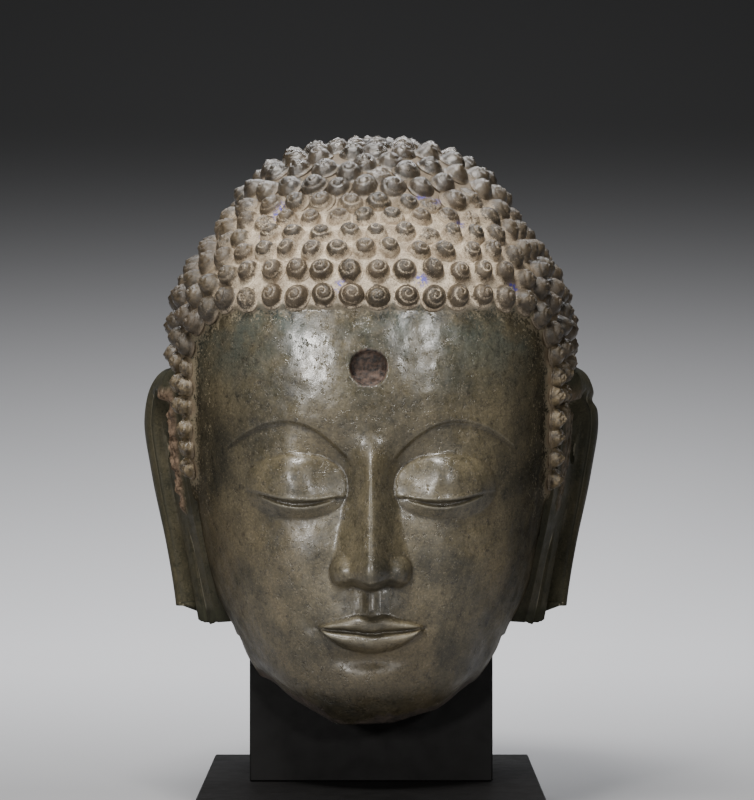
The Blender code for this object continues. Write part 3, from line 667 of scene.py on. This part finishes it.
def build_head(stone):
    mesh = thinned(head_mesh(), SKIN_TRIANGLES)
    places, _, _ = corner_arrays(mesh)
    local = (places - np.array([0.0, AXIS_Y, HEAD_Z])) / FINGER
    turn = np.arctan2(local[:, 0], -local[:, 1])
    arc = arc_at(turn, local[:, 2])
    from_hair = hair_distance(turn, arc)
    near = np.flatnonzero(np.abs(from_hair) < 0.35)
    curls = base_point(*curl_sites())
    apart = np.linalg.norm(base_point(turn[near], arc[near])[:, None] - curls[None], axis=-1).min(axis=1)
    from_hair[near] = np.minimum(from_hair[near] + 0.1, 0.40 - apart)
    from_hair += 0.04 * waves(local, 0.8, 9)
    add_value(mesh, "hair", smoothstep(-0.06, 0.04, from_hair))
    add_value(mesh, "spill", np.clip(1 + from_hair / 0.6, 0, 1) ** 2 * (local[:, 1] < -1))
    add_value(mesh, "edge", np.clip(bulge(mesh, 2) / SHARP_EDGE, -1, 1))
    from_socket = np.hypot(local[:, 0] - SOCKET_X, local[:, 2] - SOCKET_Z) * FINGER
    add_value(mesh, "socket", (from_socket < SOCKET_RADIUS + 0.0005) & (local[:, 1] < 0))
    break_line = base_point(turn, np.zeros_like(turn))[:, 2]
    above_break = local[:, 2] - break_line - 0.16 * waves(local, 1.3, 7)
    add_value(mesh, "torn", 1 - smoothstep(0.25, 0.45, above_break))
    return new_piece("head_stone", mesh, stone, "stone", "stone_head")


def curl_forms(high, cone, worn, random):
    """Heights and spiral grooves of the curls over a disc of rings and sides, one row for each curl."""
    count = len(high)
    ring = np.concatenate([np.linspace(0, 1, CURL_RINGS + 1)[1:], DUST_REACH])
    angle = np.linspace(0, 2 * math.pi, CURL_SIDES, endpoint=False)
    t, phi = np.meshgrid(ring, angle, indexing="ij")
    t, phi = t[None], phi[None]
    high, cone, worn = high[:, None, None], cone[:, None, None], worn[:, None, None]
    dome = (1 - np.clip(t / 0.97, 0, 1) ** 2.4) ** 0.6
    flank = np.clip(t / 0.98, 0, 1)
    tent = 0.5 * (1 - flank) + 0.5 * (1 - flank**2.2) ** 0.6
    foot = (0.12 + 0.15 * cone) * np.clip((1.14 - t) / 0.34, 0, 1) ** 2
    body = high * smooth_max(dome * (1 - cone) + tent * cone, foot, 0.12)
    turns = random.uniform(1.9, 2.5, (count, 1, 1))
    start = random.uniform(0, 1, (count, 1, 1))
    hand = np.where(random.uniform(size=(count, 1, 1)) < 0.85, 1, -1)
    coil = np.abs(np.sin(math.pi * (turns * t**0.85 - hand * phi / (2 * math.pi) + start)))
    window = smoothstep(0.06, 0.16, t) * (1 - smoothstep(0.80, 0.92, t)) * (1 - 0.85 * worn)
    cut = (1 - np.clip(coil / 0.6, 0, 1)) * window
    depth = GROOVE_DEPTH * random.uniform(0.5, 1.2, (count, 1, 1))
    return t, phi, body - depth * cut + 0.0006 * bump(t, 0.14), cut


def curl_faces(count, rings):
    """Triangles over the rings of each curl and across its hidden foot."""
    size = 1 + rings * CURL_SIDES
    faces = [(0, 1 + i, 1 + (i + 1) % CURL_SIDES) for i in range(CURL_SIDES)]
    for ring in range(rings - 1):
        inner = 1 + ring * CURL_SIDES
        outer = inner + CURL_SIDES
        for i in range(CURL_SIDES):
            j = (i + 1) % CURL_SIDES
            faces += [(inner + i, outer + i, outer + j), (inner + i, outer + j, inner + j)]
    last = size - CURL_SIDES
    faces += [(last, last + i + 1, last + i) for i in range(1, CURL_SIDES - 1)]
    return (np.array(faces)[None] + np.arange(count)[:, None, None] * size).reshape(-1, 3)


def bends(turn, arc, direction):
    """How the head falls away in a direction: the drop over the square of the way."""
    normal, ground = base_normal(turn, arc), base_point(turn, arc)
    drop = 0
    for step in (-0.3, 0.3):
        beyond = base_point(*moved(turn, arc, step * direction)) - ground
        drop = drop - (beyond * normal).sum(axis=-1) / (2 * step**2)
    return np.clip(np.nan_to_num(drop, nan=0.3), 0, 0.6)


def build_curls(name, turn, arc, worn, dusty, material, seed):
    """Snail curls as tall round buttons or cones with a spiral cut into each."""
    random = np.random.default_rng(seed)
    count = len(turn)
    normal = base_normal(turn, arc)
    ground = base_point(turn, arc)
    beside = np.stack([np.cos(turn), np.sin(turn), np.zeros(count)], axis=-1)
    upward = np.cross(normal, beside)
    lean = random.normal(0, 0.06, (count, 2))
    level = ground[:, 2]
    lumps = (1 - smoothstep(10.4, 11.4, level)) * (1 - smoothstep(0.5, 0.9, hair_distance(turn, arc)))
    lumps *= np.abs(turn) < 1.5
    lean[:, 0] -= 0.5 * lumps * np.sign(turn)
    axis = normal + beside * lean[:, :1] + upward * lean[:, 1:]
    axis /= np.linalg.norm(axis, axis=-1, keepdims=True)
    high = CURL_HEIGHT * random.uniform(0.86, 0.97, count) * (1 - 0.5 * worn)
    from_face = smoothstep(HAIRLINE + 1.6, HAIRLINE + 3.8, level) + smoothstep(0.75, 1.2, np.abs(turn))
    cone = np.clip(from_face, 0, 1) * random.uniform(0.25, 0.75, count) * (1 - lumps)
    t, phi, height, cut = curl_forms(high, cone, np.maximum(worn, 0.8 * dusty), random)
    grown = 0.14 * smoothstep(HAIRLINE + 2.4, HAIRLINE + 3.3, level)
    grown = grown + 0.08 * smoothstep(0.7, 0.95, np.abs(turn))
    wide = CURL_RADIUS * random.uniform(0.98, 1.06, count) * (1 + np.minimum(grown, 0.14) - 0.14 * lumps)
    wide = wide[:, None, None]
    wide = wide * (1 + 0.05 * np.cos(2 * phi + random.uniform(0, 6, (count, 1, 1))))
    reach = t * wide
    places = (t * 3 * np.cos(phi), t * 3 * np.sin(phi), 7 * turn[:, None, None])
    rough = waves(np.stack(np.broadcast_arrays(*places), -1), 2.4, seed + 1)
    height = height + 0.0006 * rough * (0.5 + 2.0 * np.maximum(worn, dusty)[:, None, None])
    height[:, -1] = -DUST_SUNK
    share = height / high[:, None, None] + 0.07 * rough
    bend = [bends(turn, arc, way)[:, None, None] / FINGER for way in (beside, upward)]
    height = height - bend[0] * (reach * np.cos(phi)) ** 2 - bend[1] * (reach * np.sin(phi)) ** 2
    top = height[:, :1].mean(axis=2, keepdims=True) + 0.0003

    local = (
        (reach * np.cos(phi)).reshape(count, -1),
        (reach * np.sin(phi)).reshape(count, -1),
        height.reshape(count, -1),
    )
    centre = (np.zeros((count, 1)), np.zeros((count, 1)), top.reshape(count, 1))
    local = [np.concatenate(pair, axis=1)[..., None] for pair in zip(centre, local)]
    along = (beside[:, None], upward[:, None], axis[:, None])
    corners = placed(ground)[:, None] + sum(one * part for one, part in zip(along, local))
    mesh = new_mesh(name, corners.reshape(-1, 3), curl_faces(count, CURL_RINGS + len(DUST_REACH)))

    above = smoothstep(HAIRLINE + 2.8, HAIRLINE + 3.5, level)
    beside_ear = smoothstep(0.55, 0.95, np.abs(turn))
    pale = smoothstep(HAIRLINE + 1.2, HAIRLINE + 1.8, level) * (1 - above) * (1 - beside_ear)
    second = smoothstep(HAIRLINE + 0.6, HAIRLINE + 1.0, level) * (1 - above)
    filled = (0.08 + 0.20 * second + 0.25 * pale) * random.uniform(0.8, 1.2, count)
    low = 1 - smoothstep(-0.16, 0.14, share - filled[:, None, None])
    lines = 0.95 - 0.45 * np.maximum(above, beside_ear)
    lines *= random.uniform(0.55, 1.0, count)
    dust = np.clip(lines[:, None, None] * cut + low + 0.5 * worn[:, None, None], 0, 1)
    dust = np.concatenate([np.full((count, 1), 0.35), dust.reshape(count, -1)], axis=1)
    add_value(mesh, "dust", dust.reshape(-1))
    add_value(mesh, "tan", np.repeat(dusty, dust.shape[1]))
    add_value(mesh, "tone", np.repeat(random.uniform(0, 1, count), dust.shape[1]))
    return new_piece(name, mesh, material, "stone", "stone_head")


def build_hair(material):
    turn, arc = curl_sites()
    random = np.random.default_rng(23)
    worn = (random.uniform(size=len(turn)) < 0.04) * random.uniform(0.5, 1.0, len(turn))
    across, _, level = base_point(turn, arc).T
    for x, z in WORN_CURLS:
        worn = np.where((np.hypot(across - x, level - z) < 0.3) & (np.abs(turn) < 1.5), 0.9, worn)
    side = smoothstep(0.7, 1.0, np.abs(turn)) * (np.abs(turn) < 1.8)
    dusty = side * (1 - smoothstep(9.4, 11.6, level)) * random.uniform(0.6, 1.0, len(turn))
    dusty = np.maximum(dusty, 0.25 * side * random.uniform(0, 1, len(turn)) ** 2)
    front = np.abs(turn) < 1.1
    low = level < 14.6
    zones = {
        "curls_front": front & low,
        "curls_crown": ~low,
        "curls_right": ~front & low & (turn < 0) & (turn > -2.2),
        "curls_left": ~front & low & (turn > 0) & (turn < 2.2),
        "curls_nape": ~front & low & (np.abs(turn) >= 2.2),
    }
    for seed, (name, zone) in enumerate(zones.items()):
        build_curls(name, turn[zone], arc[zone], worn[zone], dusty[zone], material, 40 + seed)


def ear_relief(out, level, width):
    """The carving of the ear's outer side: rim, groove, hollow and slit lobe."""
    top = EAR_PROFILE[0][0]
    from_edge = np.minimum(width - out, (top - level) * 0.9)
    upper = smoothstep(4.6, 5.6, level)
    band = 0.5 + 0.4 * smoothstep(3.5, 8.0, level)
    relief = 0.28 * np.clip(1 - (2 * from_edge / band - 1) ** 2, 0, 1) ** 0.5
    relief += 0.07 * bump(from_edge - 0.93 * band, 0.05)
    relief -= (0.36 - 0.16 * upper) * bump(from_edge - band - 0.14, 0.14)
    hollow = np.clip(1 - ((out - 1.3) / 0.5) ** 2 - ((level - 8.5) / 1.1) ** 2, 0, 1)
    relief -= 0.4 * hollow**0.5
    return relief - 0.12 * (1 - upper) * bump(out - 0.3 * width, 0.08)


def ear_clay(out, level):
    """Where rough clay still clings before the ear, tapering to a point."""
    wide = 0.1 + 0.34 * np.clip((level - 5.9) / 2.4, 0, 1)
    along = smoothstep(5.8, 6.1, level) * (1 - smoothstep(9.4, 9.8, level))
    return (1 - smoothstep(0.75, 1.0, np.abs(out - 0.62) / wide)) * along


def build_ear(name, side, material):
    """One ear, a closed slab that stands off from the head behind its carved outer side."""
    shares = np.concatenate([np.linspace(0, 0.2, 8)[:-1], np.linspace(0.2, 1, 64)])
    levels = np.linspace(EAR_PROFILE[0][0], EAR_PROFILE[-1][0], EAR_ROWS)
    zeros = np.zeros_like(shares)
    rows, clay = [], []
    for level in levels:
        _, rim_x, rim_y, root_x, thickness = ear_profile(-level)
        if side > 0:
            rim_x -= 0.13 * float(bump(level - 9.3, 0.17))
            level += 0.14 * float(smoothstep(9.4, 10.2, level))
        root = np.array([root_x, EAR_ROOT_Y])
        across = np.array([rim_x, rim_y]) - root
        width = float(np.linalg.norm(across))
        along = across / width
        outward = np.array([along[1], -along[0]])
        lift = LOBE_STEP * smoothstep(0.65, 0.70, shares) + 0.12 * smoothstep(0.42, 0.62, shares)
        last = smoothstep(EAR_PROFILE[-1][0] + 0.5, EAR_PROFILE[-1][0], level)
        rough = 0.035 * waves(np.stack([shares * 3, zeros, zeros], -1), 1.0, 8)
        heights = level + (lift + rough) * last
        fade = smoothstep(0.1, 0.35, shares)
        clay.append(ear_clay(shares * width, heights) * (0.35 if side > 0 else 1.0))
        lumps = 0.10 + 0.05 * waves(np.stack([shares * 9, heights, zeros], -1), 0.6, 12)
        relief = ear_relief(shares * width, heights, width) * fade + clay[-1] * lumps
        outer = root + along * (shares * width)[:, None] + outward * relief[:, None]
        back = shares[::-3]
        wedge = EAR_ROOT_THICKNESS + (thickness - EAR_ROOT_THICKNESS) * back
        inner = root + along * (back * width)[:, None] - outward * wedge[:, None]
        rows.append(np.concatenate([
            np.concatenate([outer, heights[:, None]], axis=1),
            np.concatenate([inner, heights[::-3][:, None]], axis=1),
        ]))
    rows = np.array(rows)
    columns = rows.shape[1]
    corners = np.concatenate([rows.reshape(-1, 3), rows[:1].mean(axis=1), rows[-1:].mean(axis=1)])
    corners = corners * np.array([side, 1, 1])
    faces = closed_faces(rows.shape[0], columns)
    if side < 0:
        faces = [face[::-1] for face in faces]
    mesh = bpy.data.meshes.new(name)
    mesh.from_pydata(placed(corners).tolist(), [], faces)
    mesh.shade_smooth()
    add_value(mesh, "edge", np.clip(bulge(mesh, 1) / SHARP_EDGE, -1, 1))
    clay = np.pad(np.array(clay), ((0, 0), (0, columns - len(shares)))).reshape(-1)
    add_value(mesh, "clay", np.append(clay, [0, 0]))
    low = EAR_PROFILE[-1][0] + LOBE_STEP
    add_value(mesh, "torn", 1 - smoothstep(-0.1, 0.15, corners[:, 2] - low))
    return new_piece(name, mesh, material, "stone", "stone_head")


# Materials


def new_material(name):
    material = bpy.data.materials.new(name)
    material.use_nodes = True
    tree = material.node_tree
    return material, tree, tree.nodes["Principled BSDF"]


def node(tree, kind, inputs=None, **settings):
    item = tree.nodes.new("ShaderNode" + kind)
    for key, value in settings.items():
        setattr(item, key, value)
    for key, value in (inputs or {}).items():
        if isinstance(value, bpy.types.NodeSocket):
            tree.links.new(value, item.inputs[key])
        else:
            item.inputs[key].default_value = value
    return item


def places(tree):
    return node(tree, "TexCoord").outputs["Object"]


def place(tree, axis):
    return node(tree, "SeparateXYZ", {"Vector": places(tree)}).outputs[axis]


def noise(tree, scale, detail=4.0, rough=0.55, twist=0.0):
    inputs = {"Vector": places(tree), "Scale": scale, "Detail": detail}
    inputs.update({"Roughness": rough, "Distortion": twist})
    return node(tree, "TexNoise", inputs).outputs["Fac"]


def ramp(tree, value, low, high, start=0.0, end=1.0):
    inputs = {"Value": value, "From Min": low, "From Max": high, "To Min": start, "To Max": end}
    return node(tree, "MapRange", inputs).outputs["Result"]


def by_level(tree, first, last, start=0.0, end=1.0):
    """A value that runs from start to end between two levels of the head, in fingers."""
    return ramp(tree, place(tree, "Z"), at_level(first), at_level(last), start, end)


def by_side(tree, first, last, start, end):
    """A value that runs from start to end between two distances from the middle of the face."""
    away = node(tree, "Math", {0: place(tree, "X")}, operation="ABSOLUTE").outputs["Value"]
    return ramp(tree, away, first, last, start, end)


def mix(tree, share, first, second, blend="MIX"):
    item = node(tree, "Mix", data_type="RGBA", blend_type=blend)
    sockets = {"Factor_Float": share, "A_Color": first, "B_Color": second}
    for socket in item.inputs:
        value = sockets.get(socket.identifier)
        if value is None:
            continue
        if isinstance(value, bpy.types.NodeSocket):
            tree.links.new(value, socket)
        else:
            socket.default_value = value if isinstance(value, float) else (*value, 1.0)
    return next(socket for socket in item.outputs if socket.identifier == "Result_Color")


def combined(tree, operation, first, second):
    """Two values multiplied, added or compared. A product is kept between 0 and 1."""
    item = node(tree, "Math", {0: first, 1: second}, operation=operation)
    item.use_clamp = operation == "MULTIPLY"
    return item.outputs["Value"]


def times(tree, first, second):
    return combined(tree, "MULTIPLY", first, second)


def attribute(tree, name):
    return node(tree, "Attribute", attribute_name=name).outputs["Fac"]


def bumped(tree, shader, layers):
    """Bump from several heights, each with its own strength and depth in metres."""
    normal = None
    for height, strength, depth in layers:
        inputs = {"Height": height, "Strength": strength, "Distance": depth}
        if normal:
            inputs["Normal"] = normal
        normal = node(tree, "Bump", inputs).outputs["Normal"]
    tree.links.new(normal, shader.inputs["Normal"])
    tree.links.new(normal, shader.inputs["Coat Normal"])


def shaded(tree, colour, share):
    """The colour with a share of its light."""
    grey = node(tree, "CombineXYZ", {i: share for i in range(3)}).outputs[0]
    return mix(tree, 1.0, colour, grey, "MULTIPLY")


def cracks(tree):
    """Fine winding lines, like scratches and old cracks."""
    values = {0: noise(tree, 34, 5, 0.6, 0.4), 1: 0.5, 2: 0.004}
    return node(tree, "Math", values, operation="COMPARE").outputs["Value"]


def stone_colour(tree):
    """Olive grey stone with brown clouds, cool on the brow and warm over the cheeks."""
    mottled = ramp(tree, noise(tree, 16, 8, 0.66), 0.36, 0.64)
    colour = mix(tree, mottled, (0.036, 0.032, 0.020), (0.126, 0.104, 0.061))
    clouds = ramp(tree, noise(tree, 9, 5, 0.62, 0.6), 0.46, 0.62)
    cheeks = by_level(tree, 9.5, 5.5, 0.1, 0.5)
    colour = mix(tree, times(tree, clouds, cheeks), colour, (0.156, 0.122, 0.068))
    cool = by_level(tree, 9.0, 11.5, 0.0, 0.85)
    green = ramp(tree, noise(tree, 20, 5, 0.6), 0.40, 0.60)
    colour = mix(tree, times(tree, cool, green), colour, (0.056, 0.068, 0.058))
    scratches = times(tree, cracks(tree), 0.5)
    colour = mix(tree, scratches, colour, (0.030, 0.024, 0.016))
    spots = ramp(tree, noise(tree, 130, 4, 0.7), 0.30, 0.46, 0.42, 1.0)
    colour = shaded(tree, colour, spots)
    grains = ramp(tree, noise(tree, 420, 3, 0.7), 0.35, 0.7, 0.72, 1.35)
    colour = shaded(tree, colour, grains)
    specks = ramp(tree, noise(tree, 560, 3, 0.7), 0.60, 0.68, 0.0, 0.45)
    return mix(tree, specks, colour, (0.27, 0.215, 0.15))


def stone_material(name, on_head):
    material, tree, shader = new_material(name)
    colour = stone_colour(tree)
    edge = attribute(tree, "edge")
    worn = ramp(tree, edge, 0.2, 0.8) if on_head else ramp(tree, edge, 0.12, 0.4)
    worn = times(tree, worn, ramp(tree, noise(tree, 55, 4), 0.3, 0.6, 0.3, 0.8))
    colour = mix(tree, worn, colour, (0.36, 0.33, 0.25))
    deep = ramp(tree, edge, -0.12, -0.6, 0.0, 0.85)
    colour = mix(tree, deep, colour, (0.020, 0.016, 0.011))
    torn = attribute(tree, "torn")
    pale = (0.105, 0.070, 0.048) if on_head else (0.075, 0.074, 0.046)
    break_colour = mix(tree, ramp(tree, noise(tree, 70, 6, 0.7), 0.35, 0.65), (0.022, 0.016, 0.011), pale)
    colour = mix(tree, torn, colour, break_colour)
    if on_head:
        # Painted shade: the stone darkened towards the sides of the face and under the chin, where less
        # light falls.
        painted_side_shade = by_side(tree, 0.105, 0.178, 1.0, 0.42)
        under = by_level(tree, 0.3, 3.0, 0.5, 1.0)
        colour = shaded(tree, colour, times(tree, painted_side_shade, under))
    else:
        # Painted shade: the ears darkened towards a dark olive, as they stand at the sides of the head
        # where less light reaches, less so along their worn rims.
        colour = mix(tree, ramp(tree, worn, 0, 1, 0.62, 0.1), colour, (0.022, 0.024, 0.017))
        lumps = ramp(tree, noise(tree, 130, 6, 0.75), 0.38, 0.62)
        earth = mix(tree, lumps, (0.045, 0.030, 0.019), (0.24, 0.17, 0.118))
        colour = mix(tree, attribute(tree, "clay"), colour, earth)
    rough = ramp(tree, noise(tree, 70, 6, 0.7), 0.35, 0.68, 0.20, 0.44)
    matter = by_level(tree, 9.5, 6.0, 0.0, 0.10) if on_head else 0.16
    rough = combined(tree, "ADD", rough, matter)
    rough = combined(tree, "ADD", rough, by_side(tree, 0.10, 0.16, 0.0, 0.32 if on_head else 0.0))
    rough = combined(tree, "ADD", rough, ramp(tree, torn, 0, 1, 0, 0.35))
    if on_head:
        bare = ramp(tree, noise(tree, 330, 5, 0.7), 0.62, 0.38)
        spilled = combined(tree, "GREATER_THAN", attribute(tree, "spill"), bare)
        colour = mix(tree, times(tree, spilled, 0.4), colour, (0.30, 0.25, 0.17))
        hair = attribute(tree, "hair")
        colour = mix(tree, hair, colour, dusty_colour(tree))
        socket = attribute(tree, "socket")
        # Rusty brown on the floor of the socket, kept dark as painted shade for its depth.
        rust_and_painted_shade = ramp(tree, noise(tree, 260, 4), 0.38, 0.62)
        rust_and_painted_shade = mix(tree, rust_and_painted_shade, (0.010, 0.006, 0.004), (0.085, 0.050, 0.033))
        colour = mix(tree, socket, colour, rust_and_painted_shade)
        dull = combined(tree, "MAXIMUM", hair, socket)
        rough = combined(tree, "ADD", rough, ramp(tree, dull, 0, 1, 0, 0.4))
    tree.links.new(colour, shader.inputs["Base Color"])
    tree.links.new(rough, shader.inputs["Roughness"])
    gloss = by_side(tree, 0.10, 0.16, 0.7, 0.08)
    tree.links.new(gloss, shader.inputs["Specular IOR Level"])
    if on_head:
        polish = ramp(tree, noise(tree, 48, 5, 0.7), 0.42, 0.60)
        polish = times(tree, polish, ramp(tree, dull, 0, 1, 0.4, 0))
        polish = times(tree, polish, by_side(tree, 0.075, 0.125, 1.0, 0.0))
        polish = times(tree, polish, by_level(tree, 2.2, 4.0))
        tree.links.new(polish, shader.inputs["Coat Weight"])
        shader.inputs["Coat Roughness"].default_value = 0.17
    pits = ramp(tree, noise(tree, 170, 3, 0.7), 0.28, 0.42)
    bumped(tree, shader, (
        (noise(tree, 38, 5, 0.6), 0.35, 0.0012),
        (ramp(tree, cracks(tree), 0, 1, 1, 0), 0.4, 0.0004),
        (pits, 0.7, 0.0006),
        (noise(tree, 620, 2, 0.6), 0.3, 0.0003),
    ))
    return material


def dusty_colour(tree):
    """The pale clay that fills the hair, with flecks of old blue paint."""
    pale = ramp(tree, noise(tree, 60, 6, 0.7), 0.36, 0.62)
    pale = mix(tree, pale, (0.24, 0.185, 0.125), (0.62, 0.52, 0.39))
    # Darker on the crown, towards the sides and low down: partly soil, partly painted shade in the deep
    # valleys between the curls.
    soil_and_painted_shade = by_level(tree, 14.5, 15.5, 0.0, 0.92)
    soil_and_painted_shade = times(tree, soil_and_painted_shade, ramp(tree, noise(tree, 80, 5, 0.7), 0.3, 0.6, 0.7, 1.0))
    soil_and_painted_shade = combined(tree, "MAXIMUM", soil_and_painted_shade, by_side(tree, 0.115, 0.175, 0.0, 0.9))
    soil_and_painted_shade = combined(tree, "MAXIMUM", soil_and_painted_shade, by_level(tree, 11.3, 10.3, 0.0, 0.8))
    pale = mix(tree, soil_and_painted_shade, pale, (0.100, 0.074, 0.046))
    grains = ramp(tree, noise(tree, 650, 4, 0.75), 0.50, 0.62, 0.0, 0.8)
    pale = mix(tree, grains, pale, (0.11, 0.083, 0.054))
    nearest = 1.0
    for across, up in BLUE_FLECKS:
        fleck = placed(base_point(*seen_from_front(np.array(across), np.array(up))))
        away = node(tree, "VectorMath", {0: places(tree), 1: tuple(fleck)}, operation="DISTANCE")
        nearest = combined(tree, "MINIMUM", away.outputs["Value"], nearest)
    near = ramp(tree, nearest, 0.009, 0.004)
    fleck = times(tree, near, ramp(tree, noise(tree, 260, 3, 0.6), 0.46, 0.54))
    return mix(tree, fleck, pale, (0.085, 0.075, 0.36))


def curl_material():
    material, tree, shader = new_material("curl_stone")
    tone = attribute(tree, "tone")
    dust = attribute(tree, "dust")
    dark = mix(tree, tone, (0.024, 0.019, 0.012), (0.064, 0.046, 0.028))
    lighter = ramp(tree, noise(tree, 110, 6, 0.72), 0.42, 0.66, 0, 0.7)
    dark = mix(tree, lighter, dark, (0.150, 0.115, 0.074))
    tan = ramp(tree, noise(tree, 150, 6, 0.75), 0.38, 0.62)
    tan = mix(tree, tan, (0.042, 0.030, 0.017), (0.31, 0.235, 0.13))
    dark = mix(tree, attribute(tree, "tan"), dark, tan)
    crown = by_level(tree, 14.9, 15.9)
    # The curls darker on the crown and towards the sides, with less of their pale dust shown there:
    # partly their own darker stone, partly painted shade.
    dark = shaded(tree, dark, ramp(tree, crown, 0, 1, 1.0, 0.55))
    dark = shaded(tree, dark, by_side(tree, 0.12, 0.18, 1.0, 0.6))
    broken = combined(tree, "ADD", dust, ramp(tree, noise(tree, 230, 6, 0.8), 0.32, 0.68, -0.40, 0.24))
    broken = combined(tree, "ADD", broken, ramp(tree, noise(tree, 700, 3, 0.7), 0.36, 0.64, -0.34, 0.30))
    share = times(tree, ramp(tree, broken, 0.12, 0.72), ramp(tree, crown, 0, 1, 1.0, 0.7))
    share = times(tree, share, by_side(tree, 0.12, 0.17, 1.0, 0.65))
    tree.links.new(crown, shader.inputs["Coat Weight"])
    shader.inputs["Coat Roughness"].default_value = 0.22
    colour = mix(tree, share, dark, dusty_colour(tree))
    tree.links.new(colour, shader.inputs["Base Color"])
    worn = by_level(tree, 15.5, 17.2, 0.0, -0.2)
    polish = combined(tree, "ADD", ramp(tree, noise(tree, 75, 4), 0.35, 0.65, 0.34, 0.60), worn)
    rough = combined(tree, "MAXIMUM", polish, ramp(tree, share, 0, 1, 0, 0.9))
    tree.links.new(rough, shader.inputs["Roughness"])
    bumped(tree, shader, (
        (noise(tree, 240, 5, 0.7), 0.6, 0.0013),
        (noise(tree, 800, 3, 0.65), 0.45, 0.0004),
    ))
    return material


def black_material():
    material, tree, shader = new_material("black_paint")
    colour = mix(tree, noise(tree, 35, 4), (0.0035, 0.0033, 0.0033), (0.0065, 0.006, 0.0058))
    tree.links.new(colour, shader.inputs["Base Color"])
    tree.links.new(ramp(tree, noise(tree, 55, 4), 0.3, 0.7, 0.55, 0.72), shader.inputs["Roughness"])
    shader.inputs["Specular IOR Level"].default_value = 0.2
    bumped(tree, shader, ((noise(tree, 400, 3), 0.12, 0.0004),))
    return material


def floor_material():
    """Pale paper with painted shade: darker in front of and under the object, and fading to near black up
    the sweep behind it, as the light falls off.
    """
    material, tree, shader = new_material("pale_floor")
    painted_floor_shade = mix(tree, ramp(tree, place(tree, "Y"), 0.2, 1.3), (0.29, 0.29, 0.297), (0.53, 0.53, 0.545))
    painted_light_falloff = ramp(tree, place(tree, "Z"), 0.05, 1.05, 1.0, 0.0)
    painted_light_falloff = times(tree, painted_light_falloff, painted_light_falloff)
    colour = mix(tree, painted_light_falloff, (0.006, 0.006, 0.0062), painted_floor_shade)
    tree.links.new(colour, shader.inputs["Base Color"])
    shader.inputs["Roughness"].default_value = 0.85
    return material


# The stage


def build_stage():
    """A pale floor that sweeps up behind the object."""
    half, front, back, bend, top, steps = 6.0, -4.5, 0.9, 3.2, 5.0, 40
    outline = [(front, 0.0)]
    for step in range(steps + 1):
        angle = math.pi / 2 * step / steps
        outline.append((back + bend * math.sin(angle), bend * (1 - math.cos(angle))))
    outline.append((back + bend, top))
    corners = [(side * half, y, z) for y, z in outline for side in (-1, 1)]
    faces = [(2 * i, 2 * i + 1, 2 * i + 3, 2 * i + 2) for i in range(len(outline) - 1)]
    floor = new_object("studio_floor", new_mesh("studio_floor", corners, faces))
    floor.data.materials.append(floor_material())


def add_light(name, place, target, size, power, colour):
    light = bpy.data.lights.new(name, "AREA")
    light.shape = "RECTANGLE"
    light.size, light.size_y = size
    light.energy = power
    light.color = colour
    item = new_object(name, light)
    item.location = place
    aim = Vector(target) - Vector(place)
    item.rotation_euler = aim.to_track_quat("-Z", "Y").to_euler()


def build_lights():
    middle = (0, AXIS_Y, at_level(8))
    add_light("window", (-1.14, -2.34, 0.74), middle, (0.18, 0.34), 29, (1.0, 0.98, 0.95))
    add_light("far_window", (0.92, -2.40, 0.92), middle, (0.14, 0.22), 14, (1.0, 0.985, 0.96))
    add_light("above", (-0.30, -1.2, 2.3), middle, (0.7, 0.5), 74, (1.0, 0.98, 0.95))
    add_light("backdrop", (0.0, 1.0, 2.2), (0, 2.2, 0.0), (3.0, 0.5), 95, (0.97, 0.98, 1.0))
    world = bpy.context.scene.world or bpy.data.worlds.new("studio")
    bpy.context.scene.world = world
    world.use_nodes = True
    background = world.node_tree.nodes["Background"]
    background.inputs["Color"].default_value = (0.8, 0.85, 0.92, 1.0)
    background.inputs["Strength"].default_value = 0.035


def build_camera():
    camera = bpy.data.cameras.new("photo_camera")
    camera.sensor_width = 36.0
    camera.lens = FOCAL_PIXELS / FRAME_HEIGHT * camera.sensor_width
    camera.shift_y = (HORIZON_ROW - FRAME_HEIGHT / 2) / FRAME_HEIGHT
    item = new_object("photo_camera", camera)
    item.location = (CAMERA_X, POST_LOW[1] - CAMERA_DISTANCE, FOOT_HIGH[2] + CAMERA_HEIGHT)
    item.rotation_euler = (math.pi / 2, 0, 0)
    bpy.context.scene.camera = item


def main():
    build_camera()
    build_stage()
    build_lights()
    build_head(stone_material("polished_stone", True))
    ears = stone_material("ear_stone", False)
    build_ear("right_ear", -1, ears)
    build_ear("left_ear", 1, ears)
    build_hair(curl_material())
    black = black_material()
    for name in ("support_post", "foot_slab"):
        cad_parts[name].data.materials.clear()
        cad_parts[name].data.materials.append(black)


main()
